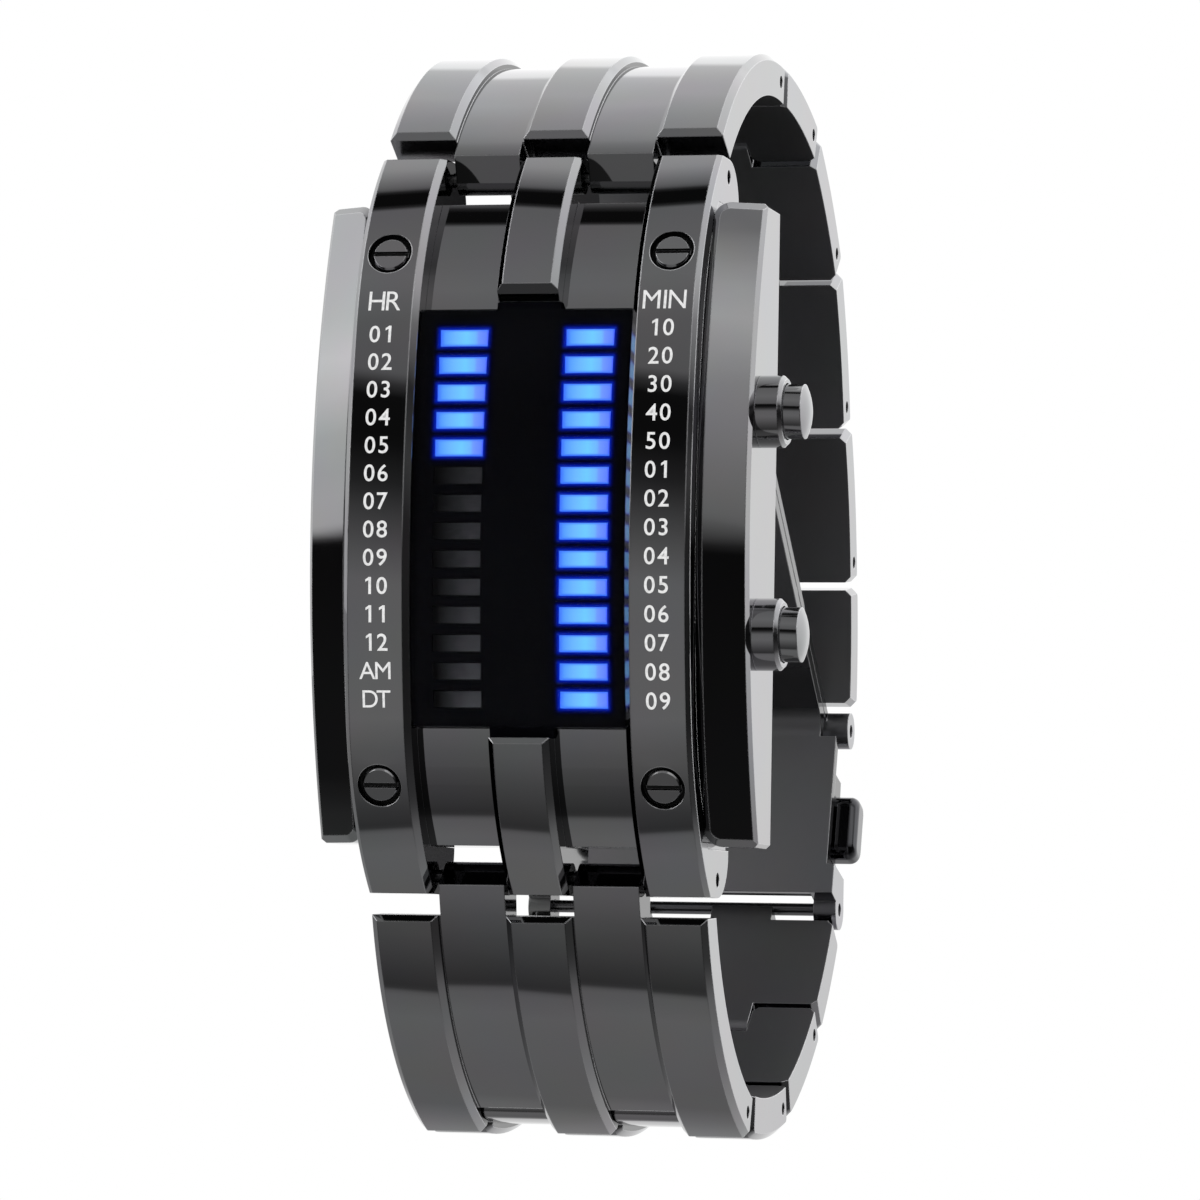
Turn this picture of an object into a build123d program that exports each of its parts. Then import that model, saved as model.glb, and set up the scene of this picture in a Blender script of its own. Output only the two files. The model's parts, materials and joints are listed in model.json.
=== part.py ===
"""Light-bar wristwatch on a five-column link bracelet with a folding clasp.

Millimetres. The origin is the centre of the case back. +Z points to 12 o'clock,
+X to 3 o'clock, the dial faces -Y and the wrist passes through on the +Y side.
"""

import os
from math import acos, asin, atan2, cos, degrees, hypot, radians, sin, sqrt, tan

from build123d import *

# Clearances, named once
running_gap = 0.05        # radial gap of a pin or stem in its hole
seat_gap = 0.02           # between parts that are assembled and stay put
slide_gap = 0.1           # beside a moving column, cap or button
overrun = 1.0             # how far a cutting tool passes the surface it cuts

# Case, rails and bars
case_depth = 14.8         # crown of the rails to the case back
case_half_width = 12.7
plate_half_length = 23.3  # the plates beside the bars end here
crown_radius = 80.0       # long flat curve over the middle
crown_end = 9.3           # the long curve stops this far inside the plates' ends
shoulder_radius = 22.0    # tighter curve towards the lugs
rail_height = 2.0         # rails and bars stand this far above the plates
rail_width = 4.82
rail_outer_bevel = 0.33
bar_width = 4.5
top_bar_space = 0.6       # from the window to the bar above it
bottom_bar_space = 0.7    # from the window to the bar below it
top_bar_chamfer = 1.25
edge_bevel = 0.45
lug_length = 3.5          # lug beyond the plates' end
lug_back_rise = 0.2       # lug backs lie this far in front of the case back
lug_back_radius = 3.4
lug_pin_reach = 2.2       # lug pin beyond the plates' end
lug_pin_rise = 3.7        # lug pin axis in front of the case back

# Display window and what lies under it
window_half_width = 7.78
window_end = 8.3          # from the window to the plates' end
window_ledge = 0.8
crystal_recess = 0.45     # crystal below the rails
crystal_thickness = 0.85
mask_gap = 0.05
mask_thickness = 1.3
mask_tab_margin = 0.1     # centre tabs stand out this far beside the bars
light_rows = 14
light_end_space = 0.235   # half a row's gap beyond the first and last bars
light_width = 3.5
light_height = 1.17
light_column_x = 4.65
light_fit = 0.04          # gap between a light bar and its slot in the mask
lit_hours = 5             # upper bars of the hour column that are on
light_board_thickness = 0.8

# Cavity, movement and battery
cavity_half_width = 10.9
cavity_end = 7.9          # from the cavity to the plates' end
cavity_front_rise = 9.9   # cavity ceiling in front of the case back
battery_radius = 10.0
battery_thickness = 3.2
battery_end = 1.4         # battery to the cavity's lower end
battery_fit = 0.15
contact_thickness = 0.25
contact_width = 4.0
contact_inset = 1.5       # strap's ends inside the battery's edge

# Case back, gasket and screws
case_back_thickness = 1.2
case_back_half_width = 12.3
case_back_end = 1.8       # from the case back to the plates' end
case_back_corner = 2.2
case_back_edge = 0.35
case_back_screw_x = 9.9
case_back_screw_end = 2.6  # from the screws to the case back's end
gasket_width = 0.7
gasket_depth = 0.55
gasket_margin = 0.45      # cavity edge to gasket groove
small_head_radius = 1.15
small_head_height = 0.6
small_shank_radius = 0.6
small_shank_length = 3.2

# Slotted screws that hold the rails
bezel_screw_x = 10.43
bezel_screw_end = 4.08    # from the screws to the plates' end
bezel_recess_radius = 1.62
bezel_recess_depth = 0.75
bezel_head_radius = 1.3
bezel_head_edge = 0.12
bezel_head_height = 0.65
bezel_shank_radius = 0.65
bezel_shank_length = 3.4
slot_width = 0.38
slot_depth = 0.3

# Side guards
guard_end = 0.1           # guards stop this far short of the plates' ends
guard_thickness = 3.53
guard_crown_rise = 13.27  # inner front edge before the case back, mid length
guard_slope = 1.97        # face falls this far from its inner to its outer edge
guard_crown_radius = 60.0
guard_back_rise = 2.4
guard_inner_bevel = 0.55
guard_outer_bevel = 0.3
guard_corner = 0.3
guard_inner_round = 1.1   # seen from the front, at the ends of the inner bevel

# Pushers on the right guard
pusher_z = 8.0
pusher_rise = 7.74        # pusher axis in front of the case back
collar_radius = 2.6
collar_length = 1.92
collar_neck_radius = 2.4
collar_neck_length = 2.8
collar_floor = 0.8
collar_rim = 0.25
cap_radius = 1.97
cap_stand_off = 1.3       # flat of the cap beyond the collar at rest
cap_dome_height = 0.45
cap_engagement = 1.15     # cap inside the collar at rest
stem_radius = 0.75
pusher_travel = 0.8
clip_radius = 1.2
clip_thickness = 0.5
spring_wall = 0.45
switch_pocket_depth = 1.6

# Bracelet columns
bracelet_half_width = 12.5
column_pitch = 5.0
link_thickness = 3.1
column_step = 0.8         # side and centre columns stand above the other two
link_pin_depth = 1.65     # pin axis below the outer surface
link_pin_radius = 0.45
end_reach = 1.55          # raised columns pass their pin by this much
end_space = 2.1           # next link's raised columns start this far past the pin
finger_space = 1.75       # low columns stop this far before the next pin
end_round = 0.8
short_link_radius = 40.0
short_link_pitch = 12.7
end_link_pitch = 13.5
long_link_radius = 26.2
long_link_pitch = 21.1
long_link_pin_depth = 3.3  # lug pin below the long link's outer surface
lug_finger_radius = 1.1
lug_face_space = 1.95     # long link's raised columns to the lug pin
lower_face_space = 2.75   # the same on the lower long link
lug_face_lean = 34.6      # degrees, lean of that end against the link's chord
lug_face_bevel = 0.5
finger_hook_length = 5.0
lug_pin_radius = 0.5
pin_inset = 0.3           # pin ends below the bracelet's sides

# Bends of the closed bracelet, in degrees
upper_bend_angles = [27.4, -37.8, -29.1, -27.5, -5.5, -15.5]
lower_bend_angles = [-53.0, 53.5, 25.5, 21.0]

# Folding clasp
open_pivot_gap = 0.4      # last lower link stops this far short of the clasp pin
leaf_length = 31.9
leaf_rise_angle = 141.1   # degrees, from the knuckle towards the hinge
leaf_thickness = 0.9
leaf_half_width = 10.6
leaf_lift = 0.7           # leaf's outer face beyond the line of its two pins
leaf_start = 2.75         # blade begins this far from the knuckle pin
knuckle_radius = 1.45
knuckle_width = 4.7
clasp_pin_radius = 0.5
blade_gap = 0.12
hinge_radius = 1.0
hinge_knuckles = 5
hinge_knuckle_gap = 0.12
base_half_width = 11.9
base_thickness = 1.0
base_offset = 2.8         # base plate's middle inside the line of its two pins
base_bend_radius = 1.2
base_end = 0.4            # plate stops this far past the level of the lower pin
ear_radius = 1.6
ear_thickness = 1.8
head_start = 2.9          # along the line of pins, from the lower pin
head_end = 11.0
head_half_width = 11.6
head_crown = 2.0          # outer face beyond the line of pins
head_crown_radius = 30.0
head_bevel = 0.5
button_at = 6.6
button_length = 5.2
button_depth = 3.0
button_proud = 2.1
button_travel = 0.8
button_round = 1.1
button_rim_round = 0.75
button_body = 3.4         # length of the button inside the head
button_spring_radius = 1.0
button_spring_length = 2.6
tongue_width = 4.0
tongue_length = 1.5
tongue_thickness = 1.1
tongue_play = 0.35

os.makedirs("parts", exist_ok=True)

# Places along the case, from the ends of its plates

crown_half_length = plate_half_length - crown_end
lug_tip = plate_half_length + lug_length
lug_pin_z = plate_half_length + lug_pin_reach
bezel_screw_z = plate_half_length - bezel_screw_end
guard_half_length = plate_half_length - guard_end
case_back_half_length = plate_half_length - case_back_end
case_back_screw_z = case_back_half_length - case_back_screw_end
window_half_length = plate_half_length - window_end
cavity_half_length = plate_half_length - cavity_end
top_bar_foot = window_half_length + top_bar_space
bottom_bar_foot = window_half_length + bottom_bar_space
light_pitch = 2 * (window_half_length - window_ledge - light_end_space) / light_rows
battery_z = battery_radius + battery_end - cavity_half_length
contact_length = 2 * (battery_radius - contact_inset)


# Points and outlines in the side view


def side(y, z):
    """A point of the side view, on the plane x = 0."""
    return Vector(0, y, z)


def turn(y, z, angle):
    """The side-view vector y, z turned by an angle in degrees, from +Y to +Z."""
    c, s = cos(radians(angle)), sin(radians(angle))
    return y * c - z * s, y * s + z * c


def slab(edges, x_from, x_to):
    """A closed side-view outline made solid between two x positions."""
    face = Face(Wire(edges))
    return Solid.extrude(face.moved(Location((x_from, 0, 0))), Vector(x_to - x_from, 0, 0))


def polygon(points, x_from, x_to):
    """A straight-sided outline made solid between two x positions."""
    corners = [side(*point) for point in points]
    edges = [Edge.make_line(a, b) for a, b in zip(corners, corners[1:] + corners[:1])]
    return slab(edges, x_from, x_to)


def block(x_from, x_to, y_from, y_to, z_from, z_to):
    """A box between two corners."""
    size = (x_to - x_from, y_to - y_from, z_to - z_from)
    middle = ((x_from + x_to) / 2, (y_from + y_to) / 2, (z_from + z_to) / 2)
    return Pos(*middle) * Box(*size)


def rod(y, z, radius, x_from, x_to):
    """A cylinder along X."""
    return Pos((x_from + x_to) / 2, y, z) * Rot(0, 90, 0) * Cylinder(radius, x_to - x_from)


def tube(y, z, radius, bore, x_from, x_to):
    """A tube along X."""
    return rod(y, z, radius, x_from, x_to) - rod(y, z, bore, x_from - overrun, x_to + overrun)


def save(shape, node):
    """Write one node; a group of separate solids stays a group."""
    solids = shape.solids()
    whole = solids[0] if len(solids) == 1 else Compound(children=list(solids))
    export_step(whole, f"parts/{node}.step")


def long_edges(shape, points, tolerance):
    """Edges along X that pass within a tolerance of the given side-view points."""
    found = []
    for edge in shape.edges().filter_by(Axis.X):
        middle = edge.center()
        if any(hypot(middle.Y - y, middle.Z - z) < tolerance for y, z in points):
            found.append(edge)
    return found


# The long curve of the case front

crown_angle = asin(crown_half_length / crown_radius)
crown_centre_y = crown_radius - case_depth
shoulder_centre_y = crown_centre_y - (crown_radius - shoulder_radius) * cos(crown_angle)
shoulder_centre_z = (crown_radius - shoulder_radius) * sin(crown_angle)


def crown_y(depth, z):
    """Y of the case front at z, a given depth under the rails' surface."""
    if abs(z) <= (crown_radius - depth) * sin(crown_angle):
        return crown_centre_y - sqrt((crown_radius - depth) ** 2 - z**2)
    along = abs(z) - shoulder_centre_z
    return shoulder_centre_y - sqrt((shoulder_radius - depth) ** 2 - along**2)


def crown_lean(z):
    """Angle in degrees by which the case front leans back at z."""
    if abs(z) <= crown_half_length:
        return degrees(asin(z / crown_radius))
    lean = degrees(asin((abs(z) - shoulder_centre_z) / shoulder_radius))
    return lean if z > 0 else -lean


def crown_edges(depth, z_from, z_to):
    """The case front from z_from up to z_to as arcs, at a depth under the rails."""
    knee = (crown_radius - depth) * sin(crown_angle)
    stops = [z_from] + [z for z in (-knee, knee) if z_from < z < z_to] + [z_to]
    edges = []
    for low, high in zip(stops, stops[1:]):
        middle = (low + high) / 2
        points = [side(crown_y(depth, z), z) for z in (low, middle, high)]
        edges.append(Edge.make_three_point_arc(*points))
    return edges


def crown_band(depth_from, depth_to, z_from, z_to, x_from, x_to):
    """A strip that follows the case front between two depths."""
    outer = crown_edges(depth_from, z_from, z_to)
    inner = crown_edges(depth_to, z_from, z_to)
    ends = []
    for z in (z_to, z_from):
        ends.append(Edge.make_line(side(crown_y(depth_from, z), z), side(crown_y(depth_to, z), z)))
    return slab(outer + inner + ends, x_from, x_to)


def crown_bevel(shape, bevel, at_x):
    """Bevel the long front edge at x of a strip that follows the case front."""
    radii = (crown_radius, shoulder_radius)
    edges = [
        edge
        for edge in shape.edges().filter_by(GeomType.CIRCLE)
        if any(abs(edge.radius - radius) < seat_gap / 2 for radius in radii)
        and abs(edge.bounding_box().size.X) < seat_gap
        and abs(edge.center().X - at_x) < seat_gap
    ]
    return chamfer(edges, bevel)


# Case body, rails and bars

case_seat = -case_back_thickness
crystal_front = crystal_recess
crystal_back = crystal_front + crystal_thickness
mask_front = crystal_back + mask_gap
mask_back = mask_front + mask_thickness
lights_half_width = light_column_x + light_width / 2
ledge_half_width = window_half_width - window_ledge
ledge_half_length = window_half_length - window_ledge
board_front = -cavity_front_rise + seat_gap
lug_pin_y = -lug_pin_rise
stem_hole_radius = stem_radius + 2 * running_gap


def bezel_screw_places():
    """Point on the rail and lean of each slotted screw."""
    places = []
    for x in (-bezel_screw_x, bezel_screw_x):
        for z in (-bezel_screw_z, bezel_screw_z):
            places.append((x, crown_y(0, z), z, crown_lean(z)))
    return places


def bezel_cutter(radius, depth_from, depth_to):
    """Cylinders into the case front at the four slotted screws."""
    parts = []
    for x, y, z, lean in bezel_screw_places():
        middle = (depth_from + depth_to) / 2
        pin = Rot(90, 0, 0) * Cylinder(radius, depth_to - depth_from)
        parts.append(Pos(x, y, z) * Rot(-lean, 0, 0) * Pos(0, middle, 0) * pin)
    return parts


def case_back_screw_places():
    """Centres of the four screws of the case back, in x and z."""
    across = (-case_back_screw_x, case_back_screw_x)
    along = (-case_back_screw_z, case_back_screw_z)
    return [(x, z) for x in across for z in along]


def gasket_ring(width_change, depth):
    """A rectangular ring behind the cavity; it fills or cuts the groove."""
    inner_x = cavity_half_width + gasket_margin - width_change
    inner_z = cavity_half_length + gasket_margin - width_change
    outer_x = inner_x + gasket_width + 2 * width_change
    outer_z = inner_z + gasket_width + 2 * width_change
    ring = block(-outer_x, outer_x, case_seat - depth, case_seat, -outer_z, outer_z)
    middle = (case_seat - 2 * depth, case_seat + overrun, -inner_z, inner_z)
    return ring - block(-inner_x, inner_x, *middle)


def make_case_body():
    """The casting between the lugs, with its plates, window and cavity."""
    front = crown_edges(rail_height, -plate_half_length, plate_half_length)
    top_y = crown_y(rail_height, plate_half_length)
    back = [
        Edge.make_line(side(top_y, plate_half_length), side(case_seat, plate_half_length)),
        Edge.make_line(side(case_seat, plate_half_length), side(case_seat, -plate_half_length)),
        Edge.make_line(side(case_seat, -plate_half_length), side(top_y, -plate_half_length)),
    ]
    body = slab(front + back, -case_half_width, case_half_width)
    half_w, half_l = window_half_width, window_half_length
    body -= crown_band(-overrun, mask_back + seat_gap, -half_l, half_l, -half_w, half_w)
    half = ledge_half_length
    body -= block(-ledge_half_width, ledge_half_width, -case_depth, -cavity_front_rise, -half, half)
    cavity = (-cavity_front_rise, case_seat + overrun, -cavity_half_length, cavity_half_length)
    body -= block(-cavity_half_width, cavity_half_width, *cavity)
    for z in (-pusher_z, pusher_z):
        inner_x, outer_x = cavity_half_width - overrun, case_half_width + overrun
        body -= rod(-pusher_rise, z, stem_hole_radius, inner_x, outer_x)
    shank_depth = bezel_recess_depth + bezel_shank_length
    for cutter in bezel_cutter(bezel_shank_radius + running_gap, 0, shank_depth):
        body -= cutter
    for x, z in case_back_screw_places():
        hole = Cylinder(small_shank_radius + running_gap, 2 * small_shank_length)
        body -= Pos(x, case_seat, z) * Rot(90, 0, 0) * hole
    body -= gasket_ring(seat_gap, gasket_depth)
    return body


def lug_solid(x_from, x_to):
    """The upper lug of one raised column, from the plate's end to the tip."""
    start = plate_half_length + seat_gap
    arc = crown_edges(0, start, lug_tip)
    tip_y = crown_y(0, lug_tip)
    back_y = -lug_back_rise
    corner = (back_y, lug_tip)
    round_z = lug_tip - lug_back_radius
    mid = turn(lug_back_radius, 0, 45)
    centre = (back_y - lug_back_radius, round_z)
    edges = arc + [
        Edge.make_line(side(tip_y, lug_tip), side(corner[0] - lug_back_radius, lug_tip)),
        Edge.make_three_point_arc(
            side(corner[0] - lug_back_radius, lug_tip),
            side(centre[0] + mid[0], centre[1] + mid[1]),
            side(back_y, round_z),
        ),
        Edge.make_line(side(back_y, round_z), side(back_y, start)),
        Edge.make_line(side(back_y, start), side(crown_y(0, start), start)),
    ]
    return slab(edges, x_from, x_to)


def mirror_z(shape):
    """The same shape at the 6 o'clock end."""
    return mirror(shape, about=Plane.XY)


def raised_strip(x_from, x_to, z_from, z_to):
    """A strip lying on the plates' surface, rail_height thick."""
    return crown_band(0, rail_height - seat_gap, z_from, z_to, x_from, x_to)


def lug_hole(x_from, x_to, z):
    """Cutter for the lug pin's hole."""
    return rod(lug_pin_y, z, lug_pin_radius + running_gap, x_from - overrun, x_to + overrun)


def make_rail(x_from, x_to):
    """One printed rail: a long strip that ends in a lug at both ends."""
    lug = lug_solid(x_from, x_to)
    start = plate_half_length + seat_gap
    rail = raised_strip(x_from, x_to, -start, start) + lug + mirror_z(lug)
    for x in (x_from, x_to):
        bevel = rail_outer_bevel if abs(x) > window_half_width + rail_width / 2 else edge_bevel
        rail = crown_bevel(rail, bevel, x)
    for z in (-lug_pin_z, lug_pin_z):
        rail -= lug_hole(x_from, x_to, z)
    for cutter in bezel_cutter(bezel_recess_radius, -overrun, bezel_recess_depth):
        rail -= cutter
    for cutter in bezel_cutter(bezel_shank_radius + running_gap, 0, rail_height + overrun):
        rail -= cutter
    return rail


def make_bar(foot, chamfer_length):
    """A centre bar from its foot beside the display to its lug."""
    half = bar_width / 2
    start = plate_half_length + seat_gap
    bar = raised_strip(-half, half, foot, start) + lug_solid(-half, half)
    for x in (-half, half):
        bar = crown_bevel(bar, edge_bevel, x)
    slope_y = crown_y(0, foot)
    slope = polygon(
        [
            (slope_y - overrun, foot - overrun),
            (slope_y - overrun, foot + chamfer_length + overrun),
            (crown_y(0, foot + chamfer_length), foot + chamfer_length),
            (slope_y + chamfer_length, foot),
            (slope_y + chamfer_length, foot - overrun),
        ],
        -bar_width,
        bar_width,
    )
    bar -= slope
    return bar - lug_hole(-half, half, lug_pin_z)


def make_bezel_screws():
    """Four slotted screws, sunk in the rails and square to their surface."""
    head_top = bezel_recess_depth - bezel_head_height
    heads = bezel_cutter(bezel_head_radius, head_top, bezel_recess_depth)
    shank_end = bezel_recess_depth + bezel_shank_length - 2 * running_gap
    shanks = bezel_cutter(bezel_shank_radius, bezel_recess_depth - running_gap, shank_end)
    reach, half = bezel_recess_radius, slot_width / 2
    slot = block(-reach, reach, head_top - overrun, head_top + slot_depth, -half, half)
    screws = []
    for head, shank, (x, y, z, lean) in zip(heads, shanks, bezel_screw_places()):
        rim = head.edges().filter_by(GeomType.CIRCLE).sort_by(Axis.Y)[0]
        head = chamfer([rim], bezel_head_edge)
        screws += (head + shank - Pos(x, y, z) * Rot(-lean, 0, 0) * slot).solids()
    return Compound(children=screws)


# Side guards and pushers

guard_inner_x = case_half_width + seat_gap
guard_outer_x = guard_inner_x + guard_thickness


def make_guard(mirrored):
    """A side guard: flat back, bowed front, bevelled along its inner edge."""
    half = guard_half_length
    drop = guard_crown_radius - sqrt(guard_crown_radius**2 - half**2)
    end_y = -guard_crown_rise + drop
    back_y = -guard_back_rise
    edges = [
        Edge.make_three_point_arc(side(end_y, -half), side(-guard_crown_rise, 0), side(end_y, half)),
        Edge.make_line(side(end_y, half), side(back_y, half)),
        Edge.make_line(side(back_y, half), side(back_y, -half)),
        Edge.make_line(side(back_y, -half), side(end_y, -half)),
    ]
    profile = Face(Wire(edges)).moved(Location((guard_inner_x, 0, 0)))
    guard = Solid.extrude(profile, Vector(guard_thickness, guard_slope, 0))
    beyond = (back_y, back_y + 2 * guard_slope, -2 * half, 2 * half)
    guard -= block(guard_inner_x - overrun, guard_outer_x + overrun, *beyond)
    for x, size, ease in ((guard_inner_x, guard_inner_round, fillet), (guard_outer_x, guard_corner, chamfer)):
        upright = [edge for edge in guard.edges().filter_by(Axis.Y) if abs(edge.center().X - x) < seat_gap]
        guard = ease(upright, size)
    for x, size in ((guard_inner_x, guard_inner_bevel), (guard_outer_x, guard_outer_bevel)):
        arcs = guard.edges().filter_by(GeomType.CIRCLE)
        guard = chamfer([edge for edge in arcs if abs(edge.center().X - x) < seat_gap], size)
    if mirrored:
        return mirror(guard, about=Plane.YZ)
    for z in (-pusher_z, pusher_z):
        neck_from = guard_outer_x - collar_neck_length - seat_gap
        guard -= rod(-pusher_rise, z, collar_neck_radius + seat_gap, neck_from, guard_outer_x + overrun)
        guard -= rod(-pusher_rise, z, stem_hole_radius, guard_inner_x - overrun, guard_outer_x)
    return guard


collar_face_x = guard_outer_x + collar_length
collar_neck_x = guard_outer_x - collar_neck_length
collar_bore = cap_radius + slide_gap
cap_inner_x = collar_face_x - cap_engagement
cap_flat_x = collar_face_x + cap_stand_off
clip_outer_x = cavity_half_width - running_gap


def make_collar(z):
    """Fixed collar: a neck in the guard, a flange outside, bored for the cap."""
    y = -pusher_rise
    flange = rod(y, z, collar_radius, guard_outer_x + seat_gap, collar_face_x)
    rim = flange.edges().filter_by(GeomType.CIRCLE).sort_by(Axis.X)[-1:]
    neck = rod(y, z, collar_neck_radius, collar_neck_x, guard_outer_x + 2 * seat_gap)
    collar = chamfer(rim, collar_rim) + neck
    collar -= rod(y, z, collar_bore, collar_neck_x + collar_floor, collar_face_x + overrun)
    return collar - rod(y, z, stem_hole_radius, collar_neck_x - overrun, collar_face_x)


def make_pusher(z):
    """Cap with a low dome, its stem, and the clip that keeps it in the case."""
    y = -pusher_rise
    crown = (cap_radius**2 + cap_dome_height**2) / (2 * cap_dome_height)
    tip_x = cap_flat_x + cap_dome_height
    middle_r = cap_radius / 2
    middle_x = tip_x - crown + sqrt(crown**2 - middle_r**2)
    flat = Vector(cap_flat_x, cap_radius, 0)
    tip = Vector(tip_x, 0, 0)
    outline = [
        Edge.make_line(Vector(cap_inner_x, 0, 0), Vector(cap_inner_x, cap_radius, 0)),
        Edge.make_line(Vector(cap_inner_x, cap_radius, 0), flat),
        Edge.make_three_point_arc(flat, Vector(middle_x, middle_r, 0), tip),
        Edge.make_line(tip, Vector(cap_inner_x, 0, 0)),
    ]
    cap = Pos(0, y, z) * revolve(Face(Wire(outline)), Axis.X)
    stem = rod(y, z, stem_radius, clip_outer_x - clip_thickness, cap_inner_x + seat_gap)
    clip = rod(y, z, clip_radius, clip_outer_x - clip_thickness, clip_outer_x)
    return cap + stem + clip


def make_pusher_spring(z):
    """Return spring around the stem, as the sleeve it occupies."""
    outer = collar_bore - 2 * slide_gap
    floor_x = collar_neck_x + collar_floor + seat_gap
    return tube(-pusher_rise, z, outer, outer - spring_wall, floor_x, cap_inner_x - seat_gap)


# Display, movement, battery and case back


def light_rows_z():
    """Heights of the light bars, from the top down."""
    return [light_pitch * ((light_rows - 1) / 2 - row) for row in range(light_rows)]


def light_bar(x, z, grow, y_back):
    """One light bar, from the board to the front of the mask."""
    half_w, half_h = light_width / 2 + grow, light_height / 2 + grow
    front = max(crown_y(mask_front, z - half_h), crown_y(mask_front, z + half_h))
    front -= overrun if grow else 0
    return block(x - half_w, x + half_w, front, y_back, z - half_h, z + half_h)


def make_crystal():
    """Curved display crystal, let into the window."""
    half_w, half_l = window_half_width - seat_gap, window_half_length - seat_gap
    return crown_band(crystal_front, crystal_back - seat_gap, -half_l, half_l, -half_w, half_w)


def make_mask():
    """Dark mask behind the crystal, with a slot for every light bar and two tabs."""
    half_w, half_l = window_half_width - seat_gap, window_half_length - seat_gap
    mask = crown_band(mask_front, mask_back, -half_l, half_l, -half_w, half_w)
    tab = bar_width / 2 + mask_tab_margin
    reach = (seat_gap - bottom_bar_foot, top_bar_foot - seat_gap)
    mask += crown_band(mask_front, rail_height - seat_gap, *reach, -tab, tab)
    for x in (-light_column_x, light_column_x):
        for z in light_rows_z():
            mask -= light_bar(x, z, light_fit, board_front)
    return mask


def make_lights(lit):
    """The light bars that are on, or the ones that are off."""
    bars = []
    for x in (-light_column_x, light_column_x):
        for row, z in enumerate(light_rows_z()):
            is_on = x > 0 or row < lit_hours
            if is_on == lit:
                bars += light_bar(x, z, 0, board_front).solids()
    return Compound(children=bars)


board_back = board_front + light_board_thickness
battery_back = case_seat - contact_thickness - 2 * seat_gap
battery_front = battery_back - battery_thickness


def make_board():
    """Circuit board that carries the light bars."""
    half_w, half_l = cavity_half_width - slide_gap, cavity_half_length - slide_gap
    return block(-half_w, half_w, board_front, board_back, -half_l, half_l)


def make_holder():
    """Moulded holder behind the board, with the battery's pocket."""
    half_w, half_l = cavity_half_width - slide_gap, cavity_half_length - slide_gap
    holder = block(-half_w, half_w, board_back + seat_gap, case_seat - seat_gap, -half_l, half_l)
    pocket = Cylinder(battery_radius + battery_fit, 2 * (battery_thickness + battery_fit))
    holder -= Pos(0, battery_back, battery_z) * Rot(90, 0, 0) * pocket
    recess = battery_back - seat_gap
    half = contact_width / 2 + slide_gap
    end = half_l + overrun
    holder -= block(-half, half, recess, case_seat + overrun, -end, end)
    reach = clip_radius + 2 * slide_gap
    for z in (-pusher_z, pusher_z):
        switch = (-pusher_rise - reach, -pusher_rise + reach, z - reach, z + reach)
        holder -= block(half_w - switch_pocket_depth, half_w + overrun, *switch)
    return holder


def make_battery():
    """Coin cell with its turned edge."""
    cell = Cylinder(battery_radius, battery_thickness)
    cell = chamfer(cell.edges().filter_by(GeomType.CIRCLE), contact_thickness)
    return Pos(0, (battery_front + battery_back) / 2, battery_z) * Rot(90, 0, 0) * cell


def make_contact():
    """Flat contact strap across the cell."""
    half = contact_width / 2
    start = battery_z - contact_length / 2
    return block(-half, half, battery_back + seat_gap, case_seat - seat_gap, start, start + contact_length)


def make_case_back():
    """Case back plate with rounded corners and sunk screw seats."""
    half_w, half_l = case_back_half_width, case_back_half_length
    plate = block(-half_w, half_w, case_seat + seat_gap, 0, -half_l, half_l)
    plate = fillet(plate.edges().filter_by(Axis.Y), case_back_corner)
    rim = plate.faces().sort_by(Axis.Y)[-1].edges()
    plate = chamfer(rim, case_back_edge)
    for x, z in case_back_screw_places():
        head = Cylinder(small_head_radius + running_gap, 2 * small_head_height)
        shank = Cylinder(small_shank_radius + running_gap, 4 * case_back_thickness)
        plate -= Pos(x, 0, z) * Rot(90, 0, 0) * head
        plate -= Pos(x, 0, z) * Rot(90, 0, 0) * shank
    return plate


def make_case_back_screws():
    """Four small slotted screws, flush with the case back."""
    screws = []
    for x, z in case_back_screw_places():
        top = -running_gap
        head = Cylinder(small_head_radius, small_head_height - running_gap)
        length = small_shank_length - 2 * running_gap
        shank = Cylinder(small_shank_radius, length)
        slot = Box(2 * small_head_radius + overrun, 2 * slot_depth, slot_width)
        screw = Pos(x, top - (small_head_height - running_gap) / 2, z) * Rot(90, 0, 0) * head
        screw += Pos(x, top - small_head_height / 2 - length / 2, z) * Rot(90, 0, 0) * shank
        screws += (screw - Pos(x, top, z) * slot).solids()
    return Compound(children=screws)


def make_gasket():
    """Seal in its groove behind the cavity."""
    return gasket_ring(0, gasket_depth - seat_gap)


# Bracelet links, drawn with the first pin at the origin and the second on +Y


def column_edges(raised):
    """X ranges of the raised columns, or of the two low columns between them."""
    gap = slide_gap / 2
    first = -bracelet_half_width
    ranges = []
    for column in range(5):
        if (column % 2 == 0) != raised:
            continue
        low, high = first + column * column_pitch, first + (column + 1) * column_pitch
        low += 0 if column == 0 else gap
        high -= 0 if column == 4 else gap
        ranges.append((low, high))
    return ranges


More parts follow.
